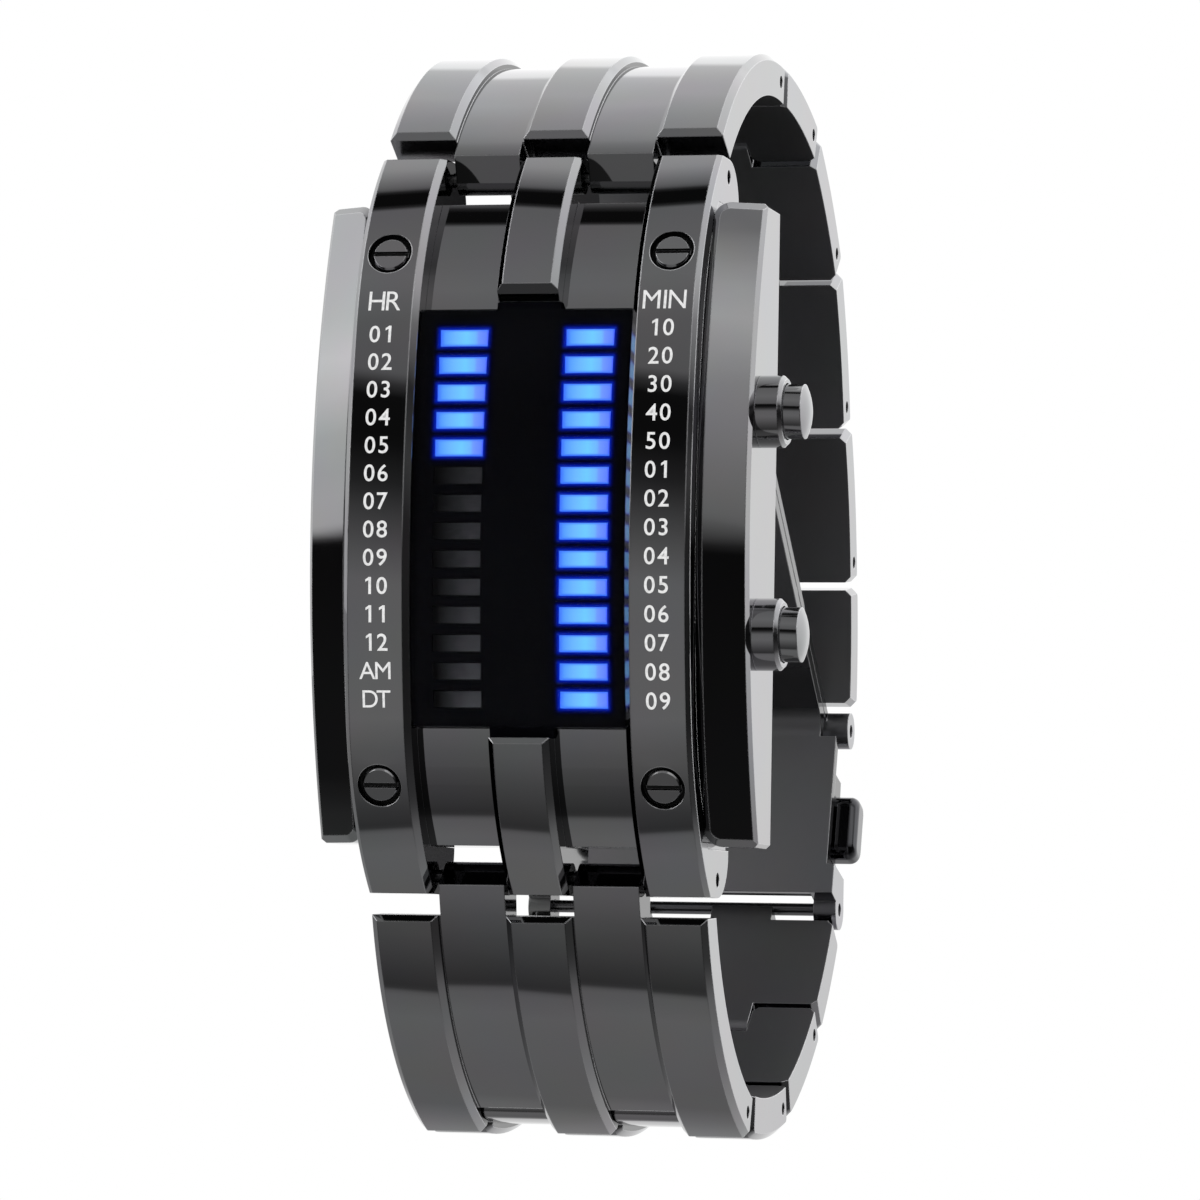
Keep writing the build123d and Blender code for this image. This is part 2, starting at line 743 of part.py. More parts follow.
class LinkCurve:
    """Concentric arcs of a link; positions run from the first pin's radial line."""

    def __init__(self, pitch, radius, depth_a, depth_b):
        self.radius = radius
        self.pitch = pitch
        self.reach_a, self.reach_b = radius - depth_a, radius - depth_b
        self.y = (pitch**2 + self.reach_a**2 - self.reach_b**2) / (2 * pitch)
        self.z = -sqrt(self.reach_a**2 - self.y**2)
        self.angle_a = -asin(self.y / self.reach_a)
        self.angle_b = asin((pitch - self.y) / self.reach_b)

    def point(self, depth, angle):
        """Point at a depth under the outer surface, at an angle from the crest."""
        reach = self.radius - depth
        return self.y + reach * sin(angle), self.z + reach * cos(angle)

    def past_a(self, distance):
        """Angle whose radial line passes the first pin at a distance."""
        return self.angle_a + asin(distance / self.reach_a)

    def past_b(self, distance):
        """Angle whose radial line passes the second pin at a distance."""
        return self.angle_b + asin(distance / self.reach_b)

    def band(self, depth_from, depth_to, start, end, x_from, x_to):
        """Solid between two depths and two angles."""
        middle = (start + end) / 2
        outer = [side(*self.point(depth_from, angle)) for angle in (start, middle, end)]
        inner = [side(*self.point(depth_to, angle)) for angle in (end, middle, start)]
        edges = [
            Edge.make_three_point_arc(*outer),
            Edge.make_line(outer[2], inner[0]),
            Edge.make_three_point_arc(*inner),
            Edge.make_line(inner[2], outer[0]),
        ]
        return slab(edges, x_from, x_to)


def bevel_sides(column, curve):
    """Bevel the long outer edges of a raised column, round its rounded ends."""
    seeds = []
    for edge in column.edges().filter_by(GeomType.CIRCLE):
        if abs(edge.radius - curve.radius) < seat_gap and edge.bounding_box().size.X < seat_gap:
            seeds.append(edge)
    return chamfer(seeds, edge_bevel)


def raised_column(curve, start, end, x_from, x_to, lug_face):
    """One raised column, with its ends eased and its long edges bevelled."""
    column = curve.band(0, link_thickness, start, end, x_from, x_to)
    if lug_face:
        column -= lug_face
        front = column.edges().filter_by(Axis.X).sort_by(Axis.Y)[:1]
        column = chamfer(front, lug_face_bevel)
        corners = [curve.point(0, end)]
    else:
        corners = [curve.point(0, start), curve.point(0, end)]
    column = fillet(long_edges(column, corners, seat_gap), end_round)
    return bevel_sides(column, curve)


def finger_tip(curve, x_from, x_to):
    """Full round at the end of a low column, about its pin."""
    thickness = link_thickness - column_step
    y, z = curve.point(column_step + thickness / 2, curve.angle_a)
    return rod(y, z, thickness / 2, x_from, x_to)


def lug_finger(curve, x_from, x_to):
    """Hooked end of the long link's low column, wrapped round the lug pin."""
    tip = curve.point(column_step, curve.angle_a)
    inner = curve.point(link_thickness, curve.past_a(finger_hook_length))
    hook = rod(0, 0, lug_finger_radius, x_from, x_to)
    for y, z, sign in ((*tip, 1), (*inner, -1)):
        reach = hypot(y, z)
        lean = degrees(atan2(z, y)) + sign * degrees(acos(lug_finger_radius / reach))
        touch = turn(lug_finger_radius, 0, lean)
        corners = [(0, 0), (y, z), touch] if sign < 0 else [(0, 0), touch, (y, z)]
        hook += polygon(corners, x_from, x_to)
    root = curve.point(column_step, curve.past_a(finger_hook_length))
    return hook + polygon([(0, 0), tip, root, inner], x_from, x_to)


def build_link(kind, end_stop=None, face_space=lug_face_space):
    """A link in its own frame: 'long', 'short' or 'end'; end_stop trims the last fingers."""
    pitch = {"long": long_link_pitch, "short": short_link_pitch, "end": end_link_pitch}[kind]
    radius = long_link_radius if kind == "long" else short_link_radius
    depth_a = long_link_pin_depth if kind == "long" else link_pin_depth
    curve = LinkCurve(pitch, radius, depth_a, link_pin_depth)
    low_start = curve.angle_a
    if kind == "long":
        raised_start = curve.angle_a
        lean = turn(1, 0, lug_face_lean)
        far = 2 * bracelet_half_width
        origin = (lean[0] * face_space, lean[1] * face_space)
        along = (-lean[1], lean[0])
        corners = []
        for across, back in ((far, 0), (far, far), (-far, far), (-far, 0)):
            y = origin[0] + along[0] * across - lean[0] * back
            corners.append((y, origin[1] + along[1] * across - lean[1] * back))
        lug_face = polygon(corners, -far, far)
        raised_start = curve.angle_a - asin(2 * face_space / curve.reach_a)
    else:
        lug_face = None
        raised_start = curve.past_a(end_space)
    if kind == "end":
        raised_end, low_end = curve.past_b(-end_space), curve.angle_b
    else:
        raised_end, low_end = curve.past_b(end_reach), curve.past_b(-finger_space)
    web_ends = max(raised_start, curve.past_a(0)), min(raised_end, low_end)
    half = bracelet_half_width - edge_bevel
    web = curve.band(column_step, link_thickness, *web_ends, -half, half)
    if lug_face:
        web -= lug_face
    link = web
    for x_from, x_to in column_edges(True):
        link += raised_column(curve, raised_start, raised_end, x_from, x_to, lug_face)
    for x_from, x_to in column_edges(False):
        link += curve.band(column_step, link_thickness, low_start, low_end, x_from, x_to)
        link += lug_finger(curve, x_from, x_to) if kind == "long" else finger_tip(curve, x_from, x_to)
        if kind == "end" and end_stop is None:
            thickness = link_thickness - column_step
            y, z = curve.point(column_step + thickness / 2, curve.angle_b)
            link += rod(y, z, thickness / 2, x_from, x_to)
    wide = 2 * bracelet_half_width
    bore_a = lug_pin_radius if kind == "long" else link_pin_radius
    link -= rod(0, 0, bore_a + running_gap, -wide, wide)
    if end_stop is None:
        bore_b = clasp_pin_radius if kind == "end" else link_pin_radius
        link -= rod(pitch, 0, bore_b + running_gap, -wide, wide)
    else:
        link -= block(-wide, wide, pitch - end_stop, 2 * pitch, -pitch, pitch)
    return link


def chain(start, bends, pitches):
    """Pins and chord angles of a run of links from its lug pin."""
    pins, angles, heading = [start], [], 0
    for bend, pitch in zip(bends, pitches):
        heading += bend
        y, z = pins[-1]
        dy, dz = turn(pitch, 0, heading)
        pins.append((y + dy, z + dz))
        angles.append(heading)
    return pins, angles


def place(shape, pin, angle, lower):
    """Move a link from its own frame into the closed bracelet."""
    flip = Rot(0, 180, 0) if lower else Rot(0, 0, 0)
    return Pos(0, pin[0], pin[1]) * Rot(angle, 0, 0) * flip * shape


upper_pitches = [long_link_pitch] + 4 * [short_link_pitch] + [end_link_pitch]
lower_pitches = [long_link_pitch] + 2 * [short_link_pitch] + [end_link_pitch]
upper_pins, upper_angles = chain((lug_pin_y, lug_pin_z), upper_bend_angles, upper_pitches)
lower_pins, lower_angles = chain((lug_pin_y, -lug_pin_z), lower_bend_angles, lower_pitches)


def bracelet_pin(pin, radius):
    """A straight pin across the bracelet."""
    half = bracelet_half_width - pin_inset
    return rod(pin[0], pin[1], radius, -half, half)


# Folding clasp, set out from its knuckle pin and its lower pin

knuckle_pin = upper_pins[-1]
clasp_pin = lower_pins[-1]
pin_line = hypot(knuckle_pin[0] - clasp_pin[0], knuckle_pin[1] - clasp_pin[1])
pin_angle = degrees(atan2(knuckle_pin[1] - clasp_pin[1], knuckle_pin[0] - clasp_pin[0]))
hinge_step = turn(leaf_length, 0, leaf_rise_angle)
hinge_pin = (knuckle_pin[0] + hinge_step[0], knuckle_pin[1] + hinge_step[1])
blade_inner = leaf_lift - leaf_thickness          # leaf's inner face, from the pin line
base_blade_outer = blade_inner - blade_gap
hinge_middle = blade_inner - blade_gap / 2


def leaf_frame(shape):
    """From the leaf's own frame, knuckle at the origin, hinge on +Y, outside +Z."""
    return place(shape, knuckle_pin, leaf_rise_angle, True)


def head_frame(shape):
    """From the head's own frame, lower pin at the origin, knuckle on +Y, outside +Z."""
    return place(shape, clasp_pin, pin_angle, True)


def to_head(y, z):
    """Side-view point of the head's own frame from the watch's frame."""
    along = turn(y - clasp_pin[0], z - clasp_pin[1], -pin_angle)
    return along[0], -along[1]


def leaf_point(along, outward):
    """Side-view point of the watch's frame from the leaf's own frame."""
    dy, dz = turn(along, -outward, leaf_rise_angle)
    return knuckle_pin[0] + dy, knuckle_pin[1] + dz


def hinge_ranges(first):
    """X ranges of every other knuckle of the clasp hinge, starting with one."""
    width = 2 * leaf_half_width / hinge_knuckles
    ranges = []
    for index in range(first, hinge_knuckles, 2):
        low = -leaf_half_width + index * width
        ranges.append((low + hinge_knuckle_gap / 2, low + width - hinge_knuckle_gap / 2))
    return ranges


def make_leaf():
    """Folding leaf: three knuckles on the last upper link, a blade, hinge knuckles."""
    end = leaf_length - hinge_radius - slide_gap
    leaf = block(-leaf_half_width, leaf_half_width, leaf_start, end, blade_inner, leaf_lift)
    for low, high in column_edges(True):
        centre = (low + high) / 2
        low, high = centre - knuckle_width / 2, centre + knuckle_width / 2
        leaf += rod(0, 0, knuckle_radius, low, high)
        low, high = max(low, -leaf_half_width), min(high, leaf_half_width)
        leaf += block(low, high, 0, leaf_start + overrun, blade_inner, leaf_lift)
    down = to_head(*knuckle_pin)
    tongue = block(
        -tongue_width / 2,
        tongue_width / 2,
        down[0] - knuckle_radius - tongue_length,
        down[0],
        -tongue_thickness / 2,
        tongue_thickness / 2,
    )
    for low, high in hinge_ranges(0):
        leaf += rod(leaf_length, hinge_middle, hinge_radius, low, high)
        leaf += block(low, high, end - overrun, leaf_length, blade_inner, leaf_lift)
    wide = bracelet_half_width
    leaf -= rod(leaf_length, hinge_middle, clasp_pin_radius + running_gap, -wide, wide)
    leaf = leaf_frame(leaf) + head_frame(tongue)
    return leaf - bracelet_bore(knuckle_pin, clasp_pin_radius)


def bracelet_bore(pin, radius):
    """Cutter for a pin across the whole bracelet."""
    wide = 2 * bracelet_half_width
    return rod(pin[0], pin[1], radius + running_gap, -wide, wide)


def crossing(point_a, angle_a, point_b, angle_b):
    """Where two side-view lines cross."""
    ay, az = cos(radians(angle_a)), sin(radians(angle_a))
    by, bz = cos(radians(angle_b)), sin(radians(angle_b))
    along = ((point_b[0] - point_a[0]) * bz - (point_b[1] - point_a[1]) * by) / (ay * bz - az * by)
    return point_a[0] + ay * along, point_a[1] + az * along


def make_base_plate():
    """Base plate: blade under the leaf, a bend, a plate inside the head, two ears."""
    blade_mid = base_blade_outer - base_thickness / 2
    plate_dir = turn(1, 0, pin_angle)
    inward = (-plate_dir[1], plate_dir[0])
    half = base_thickness / 2
    plate_start = base_end

    def plate_point(along, inner):
        return (
            clasp_pin[0] + plate_dir[0] * along + inward[0] * inner,
            clasp_pin[1] + plate_dir[1] * along + inward[1] * inner,
        )

    outline = []
    for shift, order in ((-half, 1), (half, -1)):
        plate = plate_point(plate_start, base_offset + shift)
        blade = leaf_point(leaf_length - hinge_radius - slide_gap, blade_mid - shift)
        bend = crossing(plate, pin_angle, blade, leaf_rise_angle)
        outline += [plate, bend, blade][::order]
    base = polygon(outline, -leaf_half_width, leaf_half_width)
    bends = [outline[1], outline[4]]
    for corner, radius in zip(bends, (base_bend_radius, base_bend_radius + base_thickness)):
        base = fillet(long_edges(base, [corner], seat_gap), radius)
    flange_top = pin_line - knuckle_radius - slide_gap
    flange = [
        plate_point(plate_start, base_offset - half),
        plate_point(flange_top, base_offset - half),
        plate_point(flange_top, base_offset + half),
        plate_point(plate_start, base_offset + half),
    ]
    base += polygon(flange, -base_half_width, base_half_width)
    for sign in (-1, 1):
        outer = sign * bracelet_half_width
        inner = outer - sign * ear_thickness
        low, high = min(inner, outer), max(inner, outer)
        ear = rod(clasp_pin[0], clasp_pin[1], ear_radius, low, high)
        web = [
            plate_point(0, -ear_radius),
            plate_point(head_start - slide_gap, -ear_radius / 2),
            plate_point(head_start - slide_gap, base_offset + half),
            plate_point(plate_start, base_offset + half),
        ]
        base += ear + polygon(web, low, high)
    for low, high in hinge_ranges(1):
        pin_y, pin_z = hinge_pin_place()
        base += rod(pin_y, pin_z, hinge_radius, low, high)
        stub = [
            leaf_point(leaf_length - hinge_radius - overrun, blade_mid - half),
            leaf_point(leaf_length, blade_mid - half),
            leaf_point(leaf_length, blade_mid + half),
            leaf_point(leaf_length - hinge_radius - overrun, blade_mid + half),
        ]
        base += polygon(stub, low, high)
    base -= bracelet_bore(hinge_pin_place(), clasp_pin_radius)
    return base - bracelet_bore(clasp_pin, clasp_pin_radius)


def hinge_pin_place():
    """Centre of the clasp hinge in the side view."""
    return leaf_point(leaf_length, hinge_middle)


def button_blank(grow, x_from, x_to):
    """Rounded block of a clasp button in the head's frame, along +X."""
    length, depth = button_length + 2 * grow, button_depth + 2 * grow
    low = button_at - length / 2
    blank = block(x_from, x_to, low, low + length, -depth / 2, depth / 2)
    return fillet(blank.edges().filter_by(Axis.X), button_round)


button_floor_x = head_half_width - button_body - button_spring_length


def make_head():
    """Clasp head: bowed cover with side pockets for the two buttons."""
    inner = -(base_offset - base_thickness / 2) + seat_gap
    crown = head_crown_radius
    middle = (head_start + head_end) / 2
    drop = crown - sqrt(crown**2 - ((head_end - head_start) / 2) ** 2)
    low, high = side(head_start, head_crown - drop), side(head_end, head_crown - drop)
    edges = [
        Edge.make_three_point_arc(low, side(middle, head_crown), high),
        Edge.make_line(high, side(head_end, inner)),
        Edge.make_line(side(head_end, inner), side(head_start, inner)),
        Edge.make_line(side(head_start, inner), low),
    ]
    head = slab(edges, -head_half_width, head_half_width)
    top = head.faces().filter_by(GeomType.CYLINDER)[0].edges()
    head = chamfer(top, head_bevel)
    pocket_floor = button_floor_x + button_spring_length - button_travel
    for sign in (-1, 1):
        pocket = button_blank(slide_gap, pocket_floor, head_half_width + overrun)
        spring = rod(button_at, 0, button_spring_radius + slide_gap, button_floor_x, head_half_width)
        cutter = pocket + spring
        head -= cutter if sign > 0 else mirror(cutter, about=Plane.YZ)
    lean = 90 - (leaf_rise_angle - pin_angle)
    play = tongue_length * tan(radians(lean)) + tongue_play
    slot = block(
        -tongue_width / 2 - tongue_play,
        tongue_width / 2 + tongue_play,
        pin_line - knuckle_radius - tongue_length - tongue_play,
        pin_line,
        -tongue_thickness / 2 - tongue_play,
        tongue_thickness / 2 + play,
    )
    return head_frame(head - slot)


def make_button(sign):
    """Domed side button; sign is +1 for the right-hand one."""
    tip = head_half_width + button_proud
    button = button_blank(0, head_half_width - button_body, tip)
    rim = button.faces().sort_by(Axis.X)[-1].edges()
    button = fillet(rim, button_rim_round)
    if sign > 0:
        button = mirror(button, about=Plane.YZ)
    return head_frame(button)


def make_button_spring(sign):
    """Spring behind a clasp button, as the sleeve it occupies."""
    spring = tube(
        button_at,
        0,
        button_spring_radius,
        button_spring_radius - spring_wall,
        button_floor_x + seat_gap,
        button_floor_x + button_spring_length - seat_gap,
    )
    return head_frame(mirror(spring, about=Plane.YZ) if sign > 0 else spring)


def write_case():
    """Every piece of the case."""
    save(make_case_body(), "case_body")
    save(make_guard(True), "left_side_guard")
    save(make_guard(False), "right_side_guard")
    outer = case_half_width
    save(make_rail(-outer, -outer + rail_width), "hour_rail")
    save(make_rail(outer - rail_width, outer), "minute_rail")
    save(make_bar(top_bar_foot, top_bar_chamfer), "top_centre_bar")
    save(mirror_z(make_bar(bottom_bar_foot, edge_bevel)), "bottom_centre_bar")
    save(make_bezel_screws(), "bezel_screws")
    save(make_crystal(), "display_crystal")
    save(make_mask(), "display_mask")
    save(make_lights(True), "lit_led_bars")
    save(make_lights(False), "unlit_led_bars")
    save(make_board(), "led_board")
    save(make_holder(), "module_holder")
    save(make_battery(), "battery")
    save(make_contact(), "battery_contact")
    save(make_case_back(), "case_back")
    save(make_case_back_screws(), "case_back_screws")
    save(make_gasket(), "case_back_gasket")
    for name, z in (("upper", pusher_z), ("lower", -pusher_z)):
        save(make_collar(z), f"{name}_pusher_collar")
        save(make_pusher(z), f"{name}_pusher")
        save(make_pusher_spring(z), f"{name}_pusher_spring")


def write_bracelet():
    """Links and pins, from each lug towards the clasp."""
    save(bracelet_pin(upper_pins[0], lug_pin_radius), "lug_pin_12")
    save(bracelet_pin(lower_pins[0], lug_pin_radius), "lug_pin_6")
    long_link, short_link, last_link = build_link("long"), build_link("short"), build_link("end")
    loose_link = build_link("end", clasp_pin_radius + open_pivot_gap)
    upper = [long_link] + 4 * [short_link] + [last_link]
    lower_link = build_link("long", None, lower_face_space)
    lower = [lower_link] + 2 * [short_link] + [loose_link]
    for number, link in enumerate(upper):
        placed = place(link, upper_pins[number], upper_angles[number], False)
        save(placed, f"band_12_link_{number + 1}")
    for number, link in enumerate(lower):
        placed = place(link, lower_pins[number], lower_angles[number], True)
        save(placed, f"band_6_link_{number + 1}")
    for number, pin in enumerate(upper_pins[1:-1]):
        save(bracelet_pin(pin, link_pin_radius), f"band_12_pin_{number + 1}")
    for number, pin in enumerate(lower_pins[1:-1]):
        save(bracelet_pin(pin, link_pin_radius), f"band_6_pin_{number + 1}")


def write_clasp():
    """Leaf, base plate, head, pins and buttons."""
    save(make_leaf(), "clasp_leaf")
    save(bracelet_pin(knuckle_pin, clasp_pin_radius), "clasp_leaf_pin")
    hinge_y, hinge_z = hinge_pin_place()
    save(rod(hinge_y, hinge_z, clasp_pin_radius, -leaf_half_width, leaf_half_width), "clasp_hinge_pin")
    save(make_base_plate(), "clasp_base_plate")
    save(make_head(), "clasp_head")
    save(bracelet_pin(clasp_pin, clasp_pin_radius), "clasp_end_pin")
    for name, sign in (("left", -1), ("right", 1)):
        save(make_button(sign), f"clasp_{name}_button")
        save(make_button_spring(sign), f"clasp_{name}_spring")


write_case()
write_bracelet()
write_clasp()

print("upper pins", [(round(y, 3), round(z, 3)) for y, z in upper_pins])
print("lower pins", [(round(y, 3), round(z, 3)) for y, z in lower_pins])
print("clasp hinge", [round(value, 3) for value in hinge_pin_place()])
print("line of clasp pins", round(pin_line, 3), round(pin_angle, 2))
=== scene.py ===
# %% [markdown]
# # A light-bar wristwatch on a link bracelet
#
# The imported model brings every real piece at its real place: case, rails, guards,
# pushers, display, bracelet links and folding clasp. This script dresses them. It
# mixes the finishes, prints the hour and minute scales, adds the small details that
# are thinner than a solid, and sets up the studio and the camera.

import json
from math import cos, pi, radians, sin

import bmesh
import bpy
import numpy as np
from mathutils import Matrix, Vector


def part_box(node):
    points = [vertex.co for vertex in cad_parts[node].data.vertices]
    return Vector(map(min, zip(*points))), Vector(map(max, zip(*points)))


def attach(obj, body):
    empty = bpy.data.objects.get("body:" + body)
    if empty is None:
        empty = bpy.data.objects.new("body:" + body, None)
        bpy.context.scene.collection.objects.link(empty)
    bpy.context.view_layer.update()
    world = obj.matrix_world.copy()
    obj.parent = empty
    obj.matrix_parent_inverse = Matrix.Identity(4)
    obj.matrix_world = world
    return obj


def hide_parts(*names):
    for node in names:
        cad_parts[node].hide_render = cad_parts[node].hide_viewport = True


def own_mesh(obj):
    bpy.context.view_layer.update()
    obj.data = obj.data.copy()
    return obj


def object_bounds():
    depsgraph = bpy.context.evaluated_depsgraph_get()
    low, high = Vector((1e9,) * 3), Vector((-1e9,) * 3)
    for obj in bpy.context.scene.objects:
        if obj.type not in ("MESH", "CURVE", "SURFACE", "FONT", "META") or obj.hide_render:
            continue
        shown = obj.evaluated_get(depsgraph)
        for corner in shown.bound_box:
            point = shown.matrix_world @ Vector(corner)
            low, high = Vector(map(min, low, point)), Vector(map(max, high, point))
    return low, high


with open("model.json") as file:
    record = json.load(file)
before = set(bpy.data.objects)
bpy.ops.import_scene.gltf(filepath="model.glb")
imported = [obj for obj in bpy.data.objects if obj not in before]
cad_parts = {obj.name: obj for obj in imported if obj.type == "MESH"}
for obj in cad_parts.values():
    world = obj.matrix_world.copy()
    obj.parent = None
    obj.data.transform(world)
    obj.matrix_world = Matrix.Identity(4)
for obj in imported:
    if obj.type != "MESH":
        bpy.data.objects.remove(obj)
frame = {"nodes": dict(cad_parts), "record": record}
cad_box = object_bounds()
nodes = frame["nodes"]
print("pieces from the packed model:", len(nodes))

# %% [markdown]
# ## Units and small helpers
#
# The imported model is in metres, and a watchmaker thinks in millimetres, so sizes
# below are written in millimetres and scaled once when a mesh is made.

# %% Millimetres to metres
MM = 0.001


def mesh_object(name, points, faces):
    """Make an object from an array of points in millimetres and a list of faces."""
    mesh = bpy.data.meshes.new(name)
    mesh.from_pydata((np.asarray(points, float) * MM).tolist(), [], [list(face) for face in faces])
    mesh.validate()
    mesh.update()
    piece = bpy.data.objects.new(name, mesh)
    bpy.context.scene.collection.objects.link(piece)
    return piece


# %% [markdown]
# ## The camera
#
# The photograph was taken from a little to the right of the dial and a little below
# it, with a long lens: straight lines stay straight and the far side of the bracelet
# is hardly smaller than the near side. Aiming a camera by its azimuth, elevation and
# roll about a target point gives three perpendicular directions, and these are the
# columns of its matrix.

# %% Aim the camera
AZIMUTH, ELEVATION, ROLL = (radians(angle) for angle in (13.511, -3.658, 1.005))
DISTANCE = 468.0
TARGET = np.array((1.53, 5.0, -4.704))

towards = np.array((sin(AZIMUTH) * cos(ELEVATION), -cos(AZIMUTH) * cos(ELEVATION), sin(ELEVATION)))
level = np.array((cos(AZIMUTH), sin(AZIMUTH), 0.0))
upright = np.cross(towards, level)
right = level * cos(ROLL) + upright * sin(ROLL)
above = -level * sin(ROLL) + upright * cos(ROLL)
place = (TARGET + towards * DISTANCE) * MM

lens = bpy.data.cameras.new("photo_camera")
lens.lens = 189.6
lens.sensor_width = 36.0
lens.clip_start = 0.01
camera = bpy.data.objects.new("photo_camera", lens)
columns = [Vector(right), Vector(above), Vector(towards)]
camera.matrix_world = Matrix([[c[0] for c in columns] + [place[0]], [c[1] for c in columns] + [place[1]],
                              [c[2] for c in columns] + [place[2]], [0, 0, 0, 1]])
bpy.context.scene.collection.objects.link(camera)
bpy.context.scene.camera = camera
bpy.context.scene.view_settings.view_transform = "Standard"
print("camera stands at", [round(float(value), 4) for value in place])

# %% [markdown]
# ## The studio
#
# Polished metal has almost no colour of its own: what we see in it is the room. The
# room is plain white paper, which the world gives. A product photographer then puts
# grey, black and bright cards all round the watch, far outside the picture, so that
# flat faces read as grey, edges as bright lines and some faces go black. Here the
# cards are one large dome. Only reflections see it, so it casts no shadow. It carries
# strips of tones by the turn about the watch's long axis: 0 degrees is out of the
# dial and 90 degrees is up. Four strips stand side by side: left, middle, right and
# the right-hand edge, which only the bevels catch.

# %% White paper all round
world = bpy.data.worlds.new("white_studio")
world.use_nodes = True
bpy.context.scene.world = world
paper_light = world.node_tree.nodes["Background"]
paper_light.inputs["Color"].default_value = (1.0, 1.0, 1.0, 1.0)
paper_light.inputs["Strength"].default_value = 1.0


def add(tree, kind, values=(), **settings):
    """Add a node, set its properties by name and its input values by socket."""
    node = tree.nodes.new(kind)
    for key, value in settings.items():
        setattr(node, key, value)
    for socket, value in dict(values).items():
        node.inputs[socket].default_value = value
    return node


def paint_ramp(node, stops):
    """Fill a colour ramp with (position, grey or colour) stops."""
    ramp = node.color_ramp
    while len(ramp.elements) > 1:
        ramp.elements.remove(ramp.elements[-1])
    for index, (position, colour) in enumerate(stops):
        tone = (colour,) * 3 if isinstance(colour, (int, float)) else tuple(colour)
        element = ramp.elements[0] if index == 0 else ramp.elements.new(position)
        element.position = position
        element.color = tone + (1.0,)
    return node


print("world strength", paper_light.inputs["Strength"].default_value)

# %% The cards' tones
BRIGHTEST = 2.4
LEFT_TONES = [
    (-180, 0.5), (-60, 0.02), (8, 0.01), (12, 1.10), (22, 1.15), (30, 1.12), (40, 1.2), (50, 1.55),
    (58, 1.85), (66, 1.6), (80, 1.5), (110, 1.3), (180, 0.9)]
MIDDLE_TONES = [
    (-180, 1.0), (-150, 0.6), (-118, 0.30), (-76, 0.35), (-66.5, 0.30), (-64.5, 0.08), (-58, 0.11),
    (-46, 0.18), (-34, 0.27), (-20, 0.37), (-3, 0.35), (3, 0.18), (8, 0.05), (13, 0.012), (19.5, 0.012),
    (20.2, 0.27), (45, 0.40), (76.5, 0.33), (77.5, 0.01), (85.5, 0.01), (87.5, 0.32), (99, 0.80),
    (117, 1.08), (141, 1.05), (145, 1.55), (180, 1.0)]
RIGHT_TONES = [
    (-180, 1.3), (-120, 0.5), (-60, 0.02), (1, 0.01), (6, 0.36), (15, 0.48), (30, 0.70), (41, 1.12),
    (46, 1.0), (56, 0.45), (66, 0.6), (90, 1.2), (140, 1.8), (165, 1.4), (180, 1.3)]
EDGE_TONES = [
    (-180, 1.3), (-120, 0.25), (-90, 0.10), (-50, 0.04), (-20, 0.03), (15, 0.05), (30, 0.12), (45, 0.06),
    (55, 0.4), (70, 0.9), (100, 1.6), (180, 1.3)]
# Beside the middle strip: its neighbours, and the sideways share of the direction where each one
# begins to show and where it is complete.
NEIGHBOURS = ((LEFT_TONES, -0.45, -0.60), (RIGHT_TONES, 0.15, 0.30), (EDGE_TONES, 0.80, 0.88))


def strip_of(tree, turned, tones):
    """A strip of cards: the tone by the turn, where turned runs from 0 to 1 for -180 to 180 degrees."""
    stops = [((turn + 180) / 360, tone / BRIGHTEST) for turn, tone in tones]
    ramp = paint_ramp(add(tree, "ShaderNodeValToRGB"), stops)
    tree.links.new(turned, ramp.inputs[0])
    return ramp.outputs[0]


card_paper = bpy.data.materials.new("studio_cards")
card_paper.use_nodes = True
tree = card_paper.node_tree
tree.nodes.clear()
link = tree.links.new
where = add(tree, "ShaderNodeTexCoord")
direction = add(tree, "ShaderNodeVectorMath", operation="NORMALIZE")
split = add(tree, "ShaderNodeSeparateXYZ")
forward = add(tree, "ShaderNodeMath", {1: -1.0}, operation="MULTIPLY")
angle = add(tree, "ShaderNodeMath", operation="ARCTAN2")
turned = add(tree, "ShaderNodeMapRange", {"From Min": -pi, "From Max": pi})
card_glow = add(tree, "ShaderNodeEmission", {"Strength": BRIGHTEST})
out = add(tree, "ShaderNodeOutputMaterial")
link(where.outputs["Object"], direction.inputs[0])
link(direction.outputs[0], split.inputs[0])
link(split.outputs["Y"], forward.inputs[0])
link(split.outputs["Z"], angle.inputs[0])
link(forward.outputs[0], angle.inputs[1])
link(angle.outputs[0], turned.inputs["Value"])
so_far = strip_of(tree, turned.outputs[0], MIDDLE_TONES)
for tones, begins, complete in NEIGHBOURS:
    seam = add(tree, "ShaderNodeMapRange", {"From Min": begins, "From Max": complete},
               interpolation_type="SMOOTHSTEP")
    mixed = add(tree, "ShaderNodeMix", data_type="RGBA")
    link(split.outputs["X"], seam.inputs["Value"])
    link(seam.outputs[0], mixed.inputs["Factor"])
    link(so_far, mixed.inputs["A"])
    link(strip_of(tree, turned.outputs[0], tones), mixed.inputs["B"])
    so_far = mixed.outputs["Result"]
link(so_far, card_glow.inputs["Color"])
link(card_glow.outputs[0], out.inputs["Surface"])
print("strips of cards:", 1 + len(NEIGHBOURS), "with", len(MIDDLE_TONES), "tones in the middle one")

# %% The dome
DOME_RADIUS, DOME_ROWS, DOME_COLUMNS = 2500, 33, 65


def grid_faces(rows, columns):
    """The four-sided faces of a grid of points that is stored row by row."""
    corner = (np.arange(rows - 1)[:, None] * columns + np.arange(columns - 1)).ravel()
    return np.column_stack((corner, corner + 1, corner + columns + 1, corner + columns))


